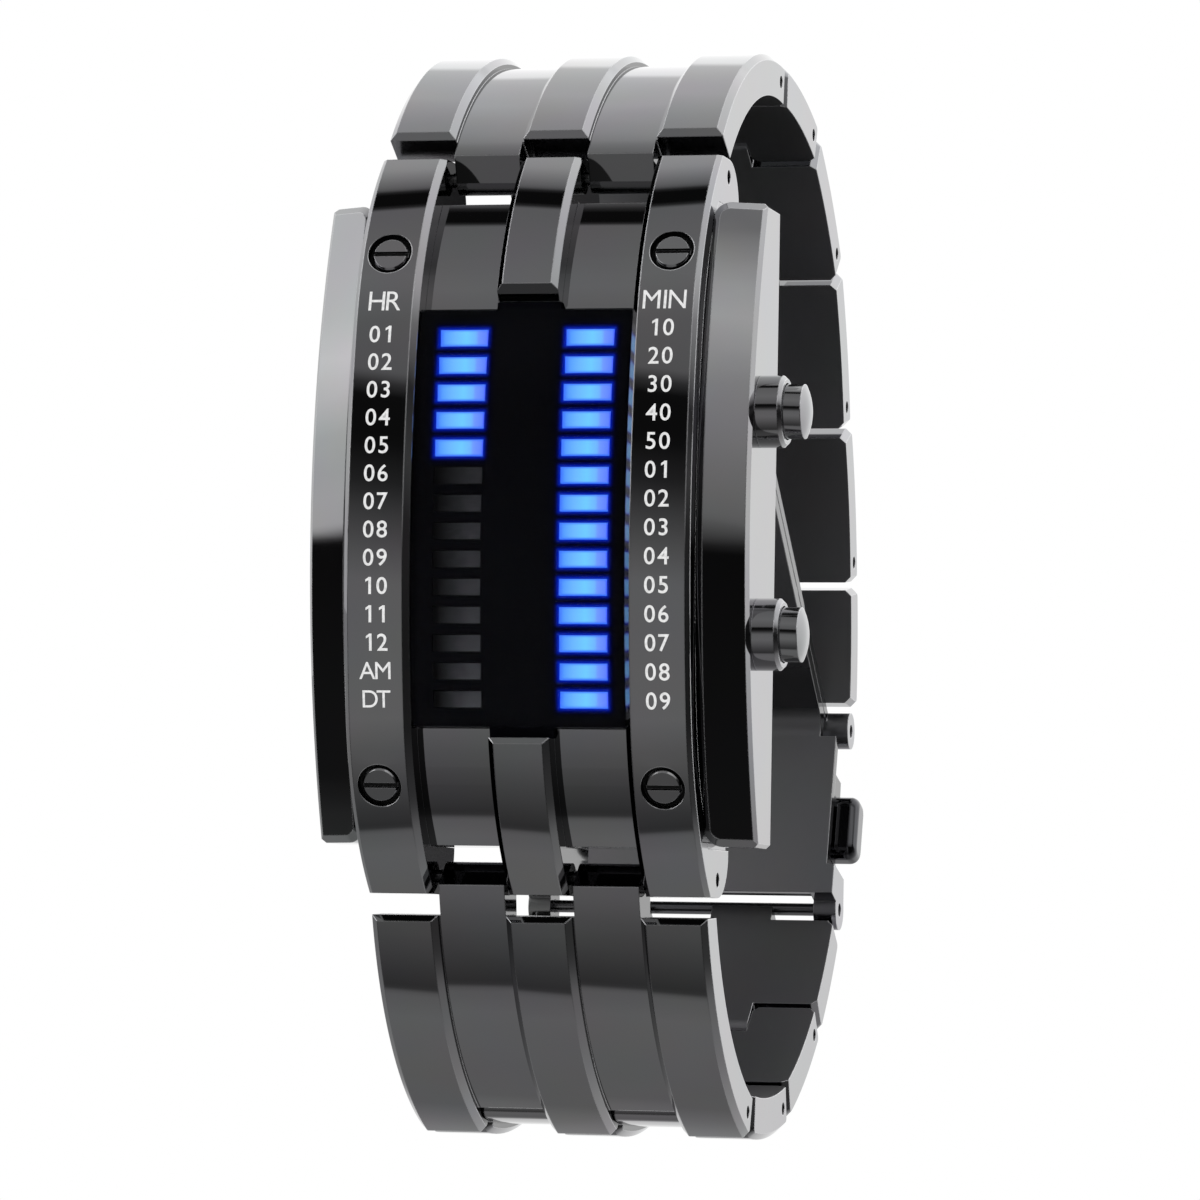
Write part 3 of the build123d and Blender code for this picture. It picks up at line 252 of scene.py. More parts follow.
# x = R cos(p), y = R sin(p) cos(q), z = R sin(p) sin(q): the poles lie to the left and the right.
pole, around = np.meshgrid(np.linspace(0.01, np.pi - 0.01, DOME_ROWS),
                           np.linspace(0, 2 * np.pi, DOME_COLUMNS), indexing="ij")
pole, around = pole.ravel(), around.ravel()
on_dome = np.column_stack((np.cos(pole), np.sin(pole) * np.cos(around), np.sin(pole) * np.sin(around)))
dome = mesh_object("card_dome", DOME_RADIUS * on_dome, grid_faces(DOME_ROWS, DOME_COLUMNS))
dome.data.materials.append(card_paper)
dome.visible_camera = dome.visible_diffuse = dome.visible_transmission = dome.visible_shadow = False
print("the dome of cards stands", DOME_RADIUS, "mm away")

# %% [markdown]
# The watch hangs free, as in the photograph, and the pale floor keeps its soft shadow.
# It lies low enough for the lower bracelet to hang open without sinking into it. The
# polished metal looks past the floor and the lamps at the cards, so the lamps light only
# the matt pieces and shape the shadow.

# %% The floor
ROOM_TO_OPEN, FLOOR_HALF = 37.0, 900.0
floor_z = cad_box[0][2] / MM - ROOM_TO_OPEN
corners = [(x, y, floor_z) for x, y in ((-FLOOR_HALF, -FLOOR_HALF), (FLOOR_HALF, -FLOOR_HALF),
                                        (FLOOR_HALF, FLOOR_HALF), (-FLOOR_HALF, FLOOR_HALF))]
floor = mesh_object("studio_floor", corners, [(0, 1, 2, 3)])
paper = bpy.data.materials.new("white_paper")
paper.use_nodes = True
sheet = paper.node_tree.nodes["Principled BSDF"]
sheet.inputs["Base Color"].default_value = (0.9, 0.9, 0.9, 1)
sheet.inputs["Roughness"].default_value = 0.9
sheet.inputs["Emission Color"].default_value = (1, 1, 1, 1)
sheet.inputs["Emission Strength"].default_value = 0.12
floor.data.materials.append(paper)
floor.visible_glossy = False
print("floor at", round(floor_z, 2), "mm")

# %% Two weak lamps
WATCH_MIDDLE = Vector((0, 10, -5))


def soft_light(name, place, size, power):
    """A square area lamp, in millimetres, aimed at the watch and left out of reflections."""
    lamp = bpy.data.lights.new(name, "AREA")
    lamp.shape = "SQUARE"
    lamp.size = size * MM
    lamp.energy = power
    holder = bpy.data.objects.new(name, lamp)
    holder.location = Vector(place) * MM
    holder.rotation_euler = (WATCH_MIDDLE - Vector(place)).to_track_quat("-Z", "Y").to_euler()
    holder.visible_glossy = False
    bpy.context.scene.collection.objects.link(holder)


LAMPS = (("key_light", (-1200, -500, 900), 900, 0.9), ("fill_light", (1200, 300, 800), 700, 1.5))
for lamp in LAMPS:
    soft_light(*lamp)
print("lamps:", len(LAMPS))

# %% [markdown]
# ## Hand polish
#
# Polished plating is never a perfect mirror. Under a loupe it has faint swirls from
# the buffing wheel, the surface rolls a little, and the plating is thinner and
# lighter on the edges; this lighter edge colour is also a painted highlight there.
# The inside of the bracelet is brushed, and the narrow walls between its columns
# get painted shade: they are coloured black. One shader group makes all of this, and each metal
# finish of the watch uses it with its own numbers.

# %% The polish group


def new_group(name, inputs, outputs):
    """A shader node group; each input is (name, kind, value) and each output (name, kind)."""
    group = bpy.data.node_groups.new(name, "ShaderNodeTree")
    for label, kind, value in inputs:
        group.interface.new_socket(label, in_out="INPUT", socket_type=kind).default_value = value
    for label, kind in outputs:
        group.interface.new_socket(label, in_out="OUTPUT", socket_type=kind)
    return group, group.nodes.new("NodeGroupInput"), group.nodes.new("NodeGroupOutput")


NUMBER, TONE, ARROW = "NodeSocketFloat", "NodeSocketColor", "NodeSocketVector"
# Shader coordinates are in metres: the middle of the wrist, and half the bracelet's width.
WRIST_MIDDLE = (0.0, 0.018, -0.006)
BAND_HALF, BAND_BLEND = 0.0123, 0.00005
polish, given, made = new_group(
    "hand_polish",
    [("Metal", TONE, (0.25, 0.25, 0.26, 1)), ("Worn Edge Highlight", TONE, (0.5, 0.5, 0.5, 1)),
     ("Edge Wear Highlight", NUMBER, 0.4), ("Edge Size", NUMBER, 0.00012), ("Gloss", NUMBER, 0.1),
     ("Swirl", NUMBER, 0.05), ("Roll", NUMBER, 0.1), ("Inside", NUMBER, 0.0)],
    [("Color", TONE), ("Roughness", NUMBER), ("Normal", ARROW)])
wire = polish.links.new
where = add(polish, "ShaderNodeTexCoord")

# Tone: slightly cloudy plating, and a lighter edge colour where a rounded edge turns away from the flat
# face: thin plating and a painted highlight there.
cloudy = add(polish, "ShaderNodeTexNoise", {"Scale": 160.0, "Detail": 3.0})
rounded = add(polish, "ShaderNodeBevel", samples=4)
shape = add(polish, "ShaderNodeNewGeometry")
flatness = add(polish, "ShaderNodeVectorMath", operation="DOT_PRODUCT")
edge = add(polish, "ShaderNodeMapRange", {"From Min": 0.995, "From Max": 0.90})
edge_wear_highlight = add(polish, "ShaderNodeMath", operation="MULTIPLY", use_clamp=True)
tone = add(polish, "ShaderNodeMix", data_type="RGBA", blend_type="MULTIPLY")
tone.inputs["Factor"].default_value = 0.12
worn_highlight = add(polish, "ShaderNodeMix", data_type="RGBA")
wire(where.outputs["Object"], cloudy.inputs["Vector"])
wire(given.outputs["Edge Size"], rounded.inputs["Radius"])
wire(rounded.outputs[0], flatness.inputs[0])
wire(shape.outputs["Normal"], flatness.inputs[1])
wire(flatness.outputs["Value"], edge.inputs["Value"])
wire(edge.outputs[0], edge_wear_highlight.inputs[0])
wire(given.outputs["Edge Wear Highlight"], edge_wear_highlight.inputs[1])
wire(given.outputs["Metal"], tone.inputs["A"])
wire(cloudy.outputs["Color"], tone.inputs["B"])
wire(tone.outputs["Result"], worn_highlight.inputs["A"])
wire(given.outputs["Worn Edge Highlight"], worn_highlight.inputs["B"])
wire(edge_wear_highlight.outputs[0], worn_highlight.inputs["Factor"])

# Painted shade: the walls between the columns are coloured black where they face sideways and lie inside the
# width.
facing_way = add(polish, "ShaderNodeSeparateXYZ")
sideways = add(polish, "ShaderNodeMath", operation="ABSOLUTE")
upright_wall = add(polish, "ShaderNodeMapRange", {"From Min": 0.90, "From Max": 0.97})
place_across = add(polish, "ShaderNodeSeparateXYZ")
offset_across = add(polish, "ShaderNodeMath", operation="ABSOLUTE")
within = add(polish, "ShaderNodeMapRange",
             {"From Min": BAND_HALF + BAND_BLEND, "From Max": BAND_HALF - BAND_BLEND})
wall_shade_mask = add(polish, "ShaderNodeMath", operation="MULTIPLY")
wall_painted_shade = add(polish, "ShaderNodeMix", data_type="RGBA")
wall_painted_shade.inputs["B"].default_value = (0.02, 0.02, 0.021, 1)
wire(where.outputs["Normal"], facing_way.inputs[0])
wire(facing_way.outputs["X"], sideways.inputs[0])
wire(sideways.outputs[0], upright_wall.inputs["Value"])
wire(where.outputs["Object"], place_across.inputs[0])
wire(place_across.outputs["X"], offset_across.inputs[0])
wire(offset_across.outputs[0], within.inputs["Value"])
wire(upright_wall.outputs[0], wall_shade_mask.inputs[0])
wire(within.outputs[0], wall_shade_mask.inputs[1])
wire(wall_shade_mask.outputs[0], wall_painted_shade.inputs["Factor"])
wire(worn_highlight.outputs["Result"], wall_painted_shade.inputs["A"])
wire(wall_painted_shade.outputs["Result"], made.inputs["Color"])

# Roughness: the gloss, a little more or less along the swirls.
swirls = add(polish, "ShaderNodeTexNoise", {"Scale": 900.0, "Detail": 4.0, "Distortion": 1.5})
swing = add(polish, "ShaderNodeMath", {1: 0.5}, operation="SUBTRACT")
matter = add(polish, "ShaderNodeMath", operation="MULTIPLY")
gloss = add(polish, "ShaderNodeMath", operation="ADD", use_clamp=True)
wire(where.outputs["Object"], swirls.inputs["Vector"])
wire(swirls.outputs[0], swing.inputs[0])
wire(swing.outputs[0], matter.inputs[0])
wire(given.outputs["Swirl"], matter.inputs[1])
wire(matter.outputs[0], gloss.inputs[0])
wire(given.outputs["Gloss"], gloss.inputs[1])

# Inside the bracelet's ring the finish is brushed: there the surface looks back at the wrist.
from_wrist = add(polish, "ShaderNodeVectorMath", {1: WRIST_MIDDLE}, operation="SUBTRACT")
in_ring = add(polish, "ShaderNodeVectorMath", {1: (0.0, 1.0, 1.0)}, operation="MULTIPLY")
outward = add(polish, "ShaderNodeVectorMath", operation="NORMALIZE")
facing = add(polish, "ShaderNodeVectorMath", operation="DOT_PRODUCT")
inward = add(polish, "ShaderNodeMapRange", {"From Min": -0.35, "From Max": -0.65})
brushed = add(polish, "ShaderNodeMath", operation="MULTIPLY")
finish = add(polish, "ShaderNodeMath", operation="ADD", use_clamp=True)
wire(where.outputs["Object"], from_wrist.inputs[0])
wire(from_wrist.outputs[0], in_ring.inputs[0])
wire(in_ring.outputs[0], outward.inputs[0])
wire(outward.outputs[0], facing.inputs[0])
wire(where.outputs["Normal"], facing.inputs[1])
wire(facing.outputs["Value"], inward.inputs["Value"])
wire(inward.outputs[0], brushed.inputs[0])
wire(given.outputs["Inside"], brushed.inputs[1])
wire(gloss.outputs[0], finish.inputs[0])
wire(brushed.outputs[0], finish.inputs[1])
wire(finish.outputs[0], made.inputs["Roughness"])

# The slight roll of the surface.
rolling = add(polish, "ShaderNodeTexNoise", {"Scale": 110.0, "Detail": 1.0})
lift = add(polish, "ShaderNodeBump", {"Distance": 0.00002})
wire(where.outputs["Object"], rolling.inputs["Vector"])
wire(rolling.outputs[0], lift.inputs["Height"])
wire(given.outputs["Roll"], lift.inputs["Strength"])
wire(rounded.outputs[0], lift.inputs["Normal"])
wire(lift.outputs[0], made.inputs["Normal"])
print("polish group has", len(polish.nodes), "nodes")

# %% [markdown]
# ## The metal finishes
#
# The whole watch is plated in dark gun-metal over steel. The screws are a touch
# lighter, the clasp's two buttons are darker as a painted dark reflection, the case back and the pins are
# ground rather than polished, and the springs are bright wire.

# %% Mix the metals


def metal(name, base, worn_highlight, gloss, edge_wear_highlight=0.4, swirl=0.05, roll=0.1, edge_size=0.00012, inside=0.0):
    """A metal with the hand polish: its own colour, a lighter edge colour (thin plating and a painted
    highlight) and its gloss.
    """
    material = bpy.data.materials.new(name)
    material.use_nodes = True
    tree = material.node_tree
    surface = tree.nodes["Principled BSDF"]
    surface.inputs["Metallic"].default_value = 1.0
    group = add(tree, "ShaderNodeGroup", node_tree=polish)
    for label, colour in (("Metal", base), ("Worn Edge Highlight", worn_highlight)):
        group.inputs[label].default_value = tuple(colour) + (1.0,)
    for label, value in (("Gloss", gloss), ("Edge Wear Highlight", edge_wear_highlight), ("Swirl", swirl), ("Roll", roll),
                         ("Edge Size", edge_size), ("Inside", inside)):
        group.inputs[label].default_value = value
    tree.links.new(group.outputs["Color"], surface.inputs["Base Color"])
    tree.links.new(group.outputs["Roughness"], surface.inputs["Roughness"])
    tree.links.new(group.outputs["Normal"], surface.inputs["Normal"])
    return material


gunmetal = metal("polished_gunmetal", (0.30, 0.30, 0.31), (0.80, 0.80, 0.82), 0.035,
                 edge_wear_highlight=0.6, swirl=0.02, roll=0.05, inside=0.34)
# The clasp buttons' darker colour is a painted dark reflection.
button_painted_dark = metal("button_painted_dark", (0.08, 0.08, 0.085), (0.55, 0.55, 0.57), 0.05,
                     edge_wear_highlight=0.7, swirl=0.02, roll=0.05)
screw_steel = metal("screw_steel", (0.33, 0.33, 0.34), (0.70, 0.70, 0.72), 0.10, edge_wear_highlight=0.6, edge_size=0.00006)
ground_steel = metal("ground_steel", (0.24, 0.24, 0.25), (0.40, 0.40, 0.41), 0.24, swirl=0.12)
bright_steel = metal("bright_steel", (0.62, 0.62, 0.63), (0.75, 0.75, 0.76), 0.18)
print("metals:", [m.name for m in (gunmetal, button_painted_dark, screw_steel, ground_steel, bright_steel)])

# %% [markdown]
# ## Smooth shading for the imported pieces
#
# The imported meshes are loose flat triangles. On mirror-like metal each triangle
# would show as a facet, so every metal piece is copied, its triangles are joined at
# their corners, and the shading runs smoothly across them except at true edges,
# where two faces meet at a clear angle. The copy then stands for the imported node.

# %% Join and smooth
record = frame["record"]
body_of = {node: body for body, members in record["behaviour"]["bodies"].items() for node in members}
slot_of = {entry["node"]: entry["material_slot"] for entry in record["subparts"]}


def smooth_copy(node, material, sharp=24.0):
    """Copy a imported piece, join its triangles and keep edges sharper than an angle."""
    source = nodes[node]
    mesh = source.data.copy()
    mesh.name = node + "_dressed"
    work = bmesh.new()
    work.from_mesh(mesh)
    bmesh.ops.remove_doubles(work, verts=work.verts, dist=0.000001)
    for face in work.faces:
        face.smooth = True
    for line in work.edges:
        line.smooth = len(line.link_faces) == 2 and line.calc_face_angle(0) < radians(sharp)
    work.to_mesh(mesh)
    work.free()
    if mesh.has_custom_normals:
        mesh.attributes.remove(mesh.attributes["custom_normal"])
    mesh.materials.clear()
    mesh.materials.append(material)
    piece = bpy.data.objects.new(node + "_dressed", mesh)
    bpy.context.scene.collection.objects.link(piece)
    keep = piece.modifiers.new("weigh_faces", "WEIGHTED_NORMAL")
    keep.keep_sharp = True
    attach(piece, body_of[node])
    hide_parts(node)
    return piece


metal_of = {"polished_gunmetal": gunmetal, "slotted_steel": screw_steel, "brushed_back": ground_steel,
            "pin_steel": ground_steel, "spring_steel": bright_steel, "battery_can": bright_steel}
darker = {"clasp_left_button": button_painted_dark, "clasp_right_button": button_painted_dark}
dressed = {}
for node, slot in slot_of.items():
    if slot in metal_of:
        dressed[node] = smooth_copy(node, darker.get(node, metal_of[slot]))
print("smoothed pieces:", len(dressed))

# %% [markdown]
# ## Springs
#
# Each button pushes on a spring whose other end is held. For each spring the share
# (length - travel) / length that it would keep with its button in is worked out and printed,
# and the spring gets a mesh of its own; the spring itself is not shortened.

# %% The share of its length each spring would keep
# In metres: how far a button goes in, and how far from the middle its spring's fixed end sits.
TRAVEL, PUSHER_SEAT, CLASP_SEAT = 0.0008, 0.01427, 0.00562
for node, joint, fixed_end in (("upper_pusher_spring", "upper_pusher_slide", PUSHER_SEAT),
                               ("lower_pusher_spring", "lower_pusher_slide", PUSHER_SEAT),
                               ("clasp_left_spring", "clasp_left_button_slide", -CLASP_SEAT),
                               ("clasp_right_spring", "clasp_right_button_slide", CLASP_SEAT)):
    near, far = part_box(node)
    length = float(far[0] - near[0])
    share = (length - TRAVEL) / length
    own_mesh(dressed[node])
    print(node, "keeps", round(share, 3), "of its length")

# %% [markdown]
# ## The display
#
# Behind a dark curved crystal lies a black mask with a slot for each light bar. A
# light bar is bright in its core, and its blue haze on the mask around it is painted light: the mask glows
# with it. The haze is worked out from the distance to the nearest bar, so it follows the rows.

# %% Sizes of the light bars, as on the part
ROWS, PITCH, BAR_WIDTH, BAR_HEIGHT, COLUMN_X = 14, 1.995, 3.5, 1.17, 4.65
LIT_HOURS = 5


def calc(tree, operation, first, second=None, clamp=False):
    """A math node fed by sockets or plain numbers; returns its output."""
    node = add(tree, "ShaderNodeMath", operation=operation, use_clamp=clamp)
    for index, value in enumerate((first, second)):
        if value is None:
            continue
        if isinstance(value, (int, float)):
            node.inputs[index].default_value = value
        else:
            tree.links.new(value, node.inputs[index])
    return node.outputs[0]


haze, given, made = new_group("bar_haze", [("Reach", NUMBER, 1.2)], [("Haze", NUMBER)])
spot = add(haze, "ShaderNodeTexCoord")
axes = add(haze, "ShaderNodeSeparateXYZ")
haze.links.new(spot.outputs["Object"], axes.inputs[0])
across = calc(haze, "MULTIPLY", axes.outputs["X"], 1 / MM)
along = calc(haze, "MULTIPLY", axes.outputs["Z"], 1 / MM)


def distance_to_column(x_middle, z_low, z_high):
    """Distance d = sqrt(side^2 + rise^2) in the display's plane to the nearest bar of a run of bars."""
    side = calc(haze, "ABSOLUTE", calc(haze, "SUBTRACT", across, x_middle))
    side = calc(haze, "SUBTRACT", side, BAR_WIDTH / 2)
    side = calc(haze, "MAXIMUM", side, 0.0)
    inside = calc(haze, "MINIMUM", calc(haze, "MAXIMUM", along, z_low), z_high)
    row = calc(haze, "ROUND", calc(haze, "DIVIDE", calc(haze, "SUBTRACT", inside, z_low), PITCH))
    middle = calc(haze, "ADD", calc(haze, "MULTIPLY", row, PITCH), z_low)
    rise = calc(haze, "ABSOLUTE", calc(haze, "SUBTRACT", along, middle))
    rise = calc(haze, "MAXIMUM", calc(haze, "SUBTRACT", rise, BAR_HEIGHT / 2), 0.0)
    total = calc(haze, "ADD", calc(haze, "MULTIPLY", side, side), calc(haze, "MULTIPLY", rise, rise))
    return calc(haze, "SQRT", total)


top = PITCH * (ROWS - 1) / 2
nearest = calc(haze, "MINIMUM", distance_to_column(COLUMN_X, -top, top),
               distance_to_column(-COLUMN_X, top - PITCH * (LIT_HOURS - 1), top))
# The haze falls off as e^(-(d / reach)^2).
fall = calc(haze, "DIVIDE", nearest, given.outputs["Reach"])
glow = calc(haze, "POWER", 2.718, calc(haze, "MULTIPLY", calc(haze, "MULTIPLY", fall, fall), -1.0))
haze.links.new(glow, made.inputs["Haze"])
print("haze group has", len(haze.nodes), "nodes")

# %% Plastics, glass and light


def plain_material(name, base, roughness, **sockets):
    """A principled material with plain values; sockets are named with underscores."""
    material = bpy.data.materials.new(name)
    material.use_nodes = True
    surface = material.node_tree.nodes["Principled BSDF"]
    surface.inputs["Base Color"].default_value = tuple(base) + (1.0,)
    surface.inputs["Roughness"].default_value = roughness
    for key, value in sockets.items():
        surface.inputs[key.replace("_", " ")].default_value = value
    return material, material.node_tree, surface


def dusted(tree, surface, base, dust, scale, grain):
    """Vary a plain material's colour and relief with fine noise."""
    spot = add(tree, "ShaderNodeTexCoord")
    noise = add(tree, "ShaderNodeTexNoise", {"Scale": scale, "Detail": 4.0})
    mix = add(tree, "ShaderNodeMix", data_type="RGBA")
    mix.inputs["A"].default_value = tuple(base) + (1.0,)
    mix.inputs["B"].default_value = tuple(dust) + (1.0,)
    bump = add(tree, "ShaderNodeBump", {"Strength": grain, "Distance": 0.00003})
    tree.links.new(spot.outputs["Object"], noise.inputs["Vector"])
    tree.links.new(noise.outputs[0], mix.inputs["Factor"])
    tree.links.new(mix.outputs["Result"], surface.inputs["Base Color"])
    tree.links.new(noise.outputs[0], bump.inputs["Height"])
    tree.links.new(bump.outputs[0], surface.inputs["Normal"])


mask_black, tree, surface = plain_material("display_mask_black", (0.002, 0.002, 0.003), 0.6,
                                           Specular_IOR_Level=0.0)
# Painted light: the mask glows blue near the lit bars.
halo = add(tree, "ShaderNodeGroup", node_tree=haze)
halo.inputs["Reach"].default_value = 0.28
hue = paint_ramp(add(tree, "ShaderNodeValToRGB"),
                 [(0.0, (0, 0, 0)), (0.15, (0.0, 0.0, 0.010)), (0.5, (0.0, 0.002, 0.09)),
                  (1.0, (0.001, 0.014, 0.42))])
tree.links.new(halo.outputs["Haze"], hue.inputs[0])
tree.links.new(hue.outputs[0], surface.inputs["Emission Color"])
surface.inputs["Emission Strength"].default_value = 1.0

lit, tree, surface = plain_material("lit_blue_bar", (0.02, 0.05, 0.12), 0.4)
spot = add(tree, "ShaderNodeTexCoord")
axes = add(tree, "ShaderNodeSeparateXYZ")
tree.links.new(spot.outputs["Object"], axes.inputs[0])
across = calc(tree, "MULTIPLY", axes.outputs["X"], 1 / MM)
middle = calc(tree, "MULTIPLY", calc(tree, "SIGN", across), COLUMN_X)
slide = calc(tree, "DIVIDE", calc(tree, "SUBTRACT", across, middle), BAR_WIDTH)
place_in_bar = calc(tree, "ADD", slide, 0.5, clamp=True)
hue = paint_ramp(add(tree, "ShaderNodeValToRGB"),
                 [(0.0, (0.01, 0.10, 0.95)), (0.10, (0.06, 0.28, 1.0)), (0.30, (0.12, 0.42, 1.0)),
                  (0.55, (0.13, 0.55, 1.0)), (0.74, (0.13, 0.42, 1.0)), (0.80, (0.13, 0.26, 1.0)),
                  (0.96, (0.09, 0.18, 0.95)), (1.0, (0.03, 0.08, 0.8))])
tree.links.new(place_in_bar, hue.inputs[0])
# Each bar fades towards its top and bottom edge; heights count in rows here.
rows = calc(tree, "ADD", calc(tree, "MULTIPLY", axes.outputs["Z"], 1 / MM / PITCH), ROWS / 2)
from_row = calc(tree, "ABSOLUTE", calc(tree, "SUBTRACT", calc(tree, "FRACT", rows), 0.5))
fade = add(tree, "ShaderNodeMapRange",
           {"From Min": 0.34 * BAR_HEIGHT / PITCH, "From Max": 0.5 * BAR_HEIGHT / PITCH})
soft_edge = add(tree, "ShaderNodeMix", data_type="RGBA")
soft_edge.inputs["B"].default_value = (0.02, 0.14, 0.85, 1)
tree.links.new(from_row, fade.inputs["Value"])
tree.links.new(fade.outputs[0], soft_edge.inputs["Factor"])
tree.links.new(hue.outputs[0], soft_edge.inputs["A"])
tree.links.new(soft_edge.outputs["Result"], surface.inputs["Emission Color"])
surface.inputs["Emission Strength"].default_value = 1.15

unlit, tree, surface = plain_material("unlit_bar", (0.02, 0.02, 0.022), 0.45, Specular_IOR_Level=0.0)
dusted(tree, surface, (0.045, 0.044, 0.045), (0.095, 0.093, 0.096), 1500.0, 0.1)
# Painted shade: the dark bars darken towards their left end, and the upper ones are darker.
spot = add(tree, "ShaderNodeTexCoord")
axes = add(tree, "ShaderNodeSeparateXYZ")
tree.links.new(spot.outputs["Object"], axes.inputs[0])
shade = add(tree, "ShaderNodeMapRange", {"From Min": -0.0062, "From Max": -0.0036})
upper_painted_shade = add(tree, "ShaderNodeMapRange", {"From Min": 0.004, "From Max": -0.013, "To Min": 0.4})
bar_painted_shade = add(tree, "ShaderNodeMix", data_type="RGBA")
bar_painted_shade.inputs["A"].default_value = (0.002, 0.002, 0.002, 1)
tree.links.new(axes.outputs["X"], shade.inputs["Value"])
tree.links.new(axes.outputs["Z"], upper_painted_shade.inputs["Value"])
tree.links.new(calc(tree, "MULTIPLY", shade.outputs[0], upper_painted_shade.outputs[0]), bar_painted_shade.inputs["Factor"])
tree.links.new(surface.inputs["Base Color"].links[0].from_socket, bar_painted_shade.inputs["B"])
tree.links.new(bar_painted_shade.outputs["Result"], surface.inputs["Base Color"])
board_black, tree, surface = plain_material("board_black", (0.01, 0.02, 0.015), 0.5)
dusted(tree, surface, (0.008, 0.018, 0.014), (0.02, 0.035, 0.03), 700.0, 0.2)
holder_black, tree, surface = plain_material("holder_black", (0.02, 0.02, 0.02), 0.55)
dusted(tree, surface, (0.018, 0.018, 0.018), (0.035, 0.035, 0.035), 2500.0, 0.3)
seal_black, tree, surface = plain_material("seal_black", (0.015, 0.015, 0.015), 0.8)
dusted(tree, surface, (0.012, 0.012, 0.012), (0.03, 0.03, 0.03), 3000.0, 0.4)

crystal, tree, surface = plain_material("dark_crystal", (0.86, 0.88, 0.92), 0.03, IOR=1.08,
                                        Transmission_Weight=1.0, Specular_IOR_Level=0.0)
smear = add(tree, "ShaderNodeTexCoord")
smudge = add(tree, "ShaderNodeTexNoise", {"Scale": 220.0, "Detail": 3.0})
matte = paint_ramp(add(tree, "ShaderNodeValToRGB"), [(0.35, 0.015), (0.75, 0.05)])
tree.links.new(smear.outputs["Object"], smudge.inputs["Vector"])
tree.links.new(smudge.outputs[0], matte.inputs[0])
tree.links.new(matte.outputs[0], surface.inputs["Roughness"])

flat_finish = {"display_mask": mask_black, "lit_led_bars": lit, "unlit_led_bars": unlit,
               "led_board": board_black, "module_holder": holder_black, "case_back_gasket": seal_black}
for node, material in flat_finish.items():
    nodes[node].data.materials.clear()
    nodes[node].data.materials.append(material)
dressed["display_crystal"] = smooth_copy("display_crystal", crystal)
print("display and inner pieces:", len(flat_finish) + 1)

# %% [markdown]
# ## The printed scales
#
# The hour rail and the minute rail carry small white print: a generic dial scale of
# plain numbers. Each label is set as text, made a mesh, and then laid on the rail:
# every point takes the height of the rail's long curve at its own place, a hair in
# front of the metal.

# %% The long curve of the case front
CASE_DEPTH, CROWN, CROWN_HALF, SHOULDER = 14.8, 80.0, 14.0, 22.0
crown_sine = CROWN_HALF / CROWN
crown_middle = CROWN - CASE_DEPTH
knee_y = crown_middle - (CROWN - SHOULDER) * np.sqrt(1 - crown_sine**2)
knee_z = (CROWN - SHOULDER) * crown_sine


def rail_front(z):
    """Y of the rails at heights z: one large arc, then a tighter one, each y = middle - sqrt(R^2 - z^2)."""
    z = np.abs(np.asarray(z, float))
    flat = crown_middle - np.sqrt(CROWN**2 - np.minimum(z, CROWN_HALF) ** 2)
    tight = knee_y - np.sqrt(SHOULDER**2 - np.clip(z - knee_z, 0, SHOULDER * 0.999) ** 2)
    return np.where(z <= CROWN_HALF, flat, tight)


print("rail front at the middle and at the ends of the print:", rail_front([0, 15.6]))

# %% Ink
ink, tree, surface = plain_material("white_print", (0.80, 0.80, 0.80), 0.5)
spot = add(tree, "ShaderNodeTexCoord")
grain = add(tree, "ShaderNodeTexNoise", {"Scale": 4000.0, "Detail": 3.0})
tones = paint_ramp(add(tree, "ShaderNodeValToRGB"), [(0.25, 0.62), (0.6, 0.82)])
tree.links.new(spot.outputs["Object"], grain.inputs["Vector"])
tree.links.new(grain.outputs[0], tones.inputs[0])
tree.links.new(tones.outputs[0], surface.inputs["Base Color"])
INK_STAND = 0.012
CELL_WIDTHS = {"M": 1.32, "I": 0.62, "H": 1.08, "N": 1.15}


def letter_mesh(letter, height):
    """One character as a flat mesh, centred, its capital height as given in millimetres."""
    text = bpy.data.curves.new("letter", "FONT")
    text.body = letter
    text.offset = 0.008 if letter.isdigit() else 0.0
    holder = bpy.data.objects.new("letter", text)
    bpy.context.scene.collection.objects.link(holder)
    bpy.context.view_layer.update()
    flat = bpy.data.meshes.new_from_object(holder)
    bpy.data.objects.remove(holder)
    points = np.empty(len(flat.vertices) * 3)
    flat.vertices.foreach_get("co", points)
    points = points.reshape(-1, 3)[:, :2]
    faces = [tuple(face.vertices) for face in flat.polygons]
    bpy.data.meshes.remove(flat)
    if letter == "1":
        # A flag: a slanted stroke from the top of the stem, down to the left.
        top, left = points[:, 1].max(), points[:, 0].min()
        flag = np.array(((0.02, 0.0), (0.02, -0.12), (-0.13, -0.20), (-0.13, -0.10))) + (left, top)
        faces.append(tuple(len(points) + step for step in (3, 2, 1, 0)))
        points = np.vstack((points, flag))
    points = points - (points.min(0) + points.max(0)) / 2
    return points * height / np.ptp(points[:, 1]), faces


def print_label(name, words, x, z, height, pitch=1.0):
    """Lay characters on a rail round x, z; each stands in a cell, and wide letters get wider cells."""
    middles, cursor = [], 0.0
    for letter in words:
        cell = pitch * CELL_WIDTHS.get(letter, 1.0)
        middles.append(cursor + cell / 2)
        cursor += cell
    all_points, all_faces = [], []
    for letter, middle in zip(words, middles):
        points, faces = letter_mesh(letter, height)
        start = sum(len(part) for part in all_points)
        all_faces += [tuple(start + corner for corner in face) for face in faces]
        all_points.append(points + (x + middle - cursor / 2, z))
    on_x, on_z = np.vstack(all_points).T
    piece = mesh_object(name, np.column_stack((on_x, rail_front(on_z) - INK_STAND, on_z)), all_faces)
    piece.data.materials.append(ink)
    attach(piece, "case")


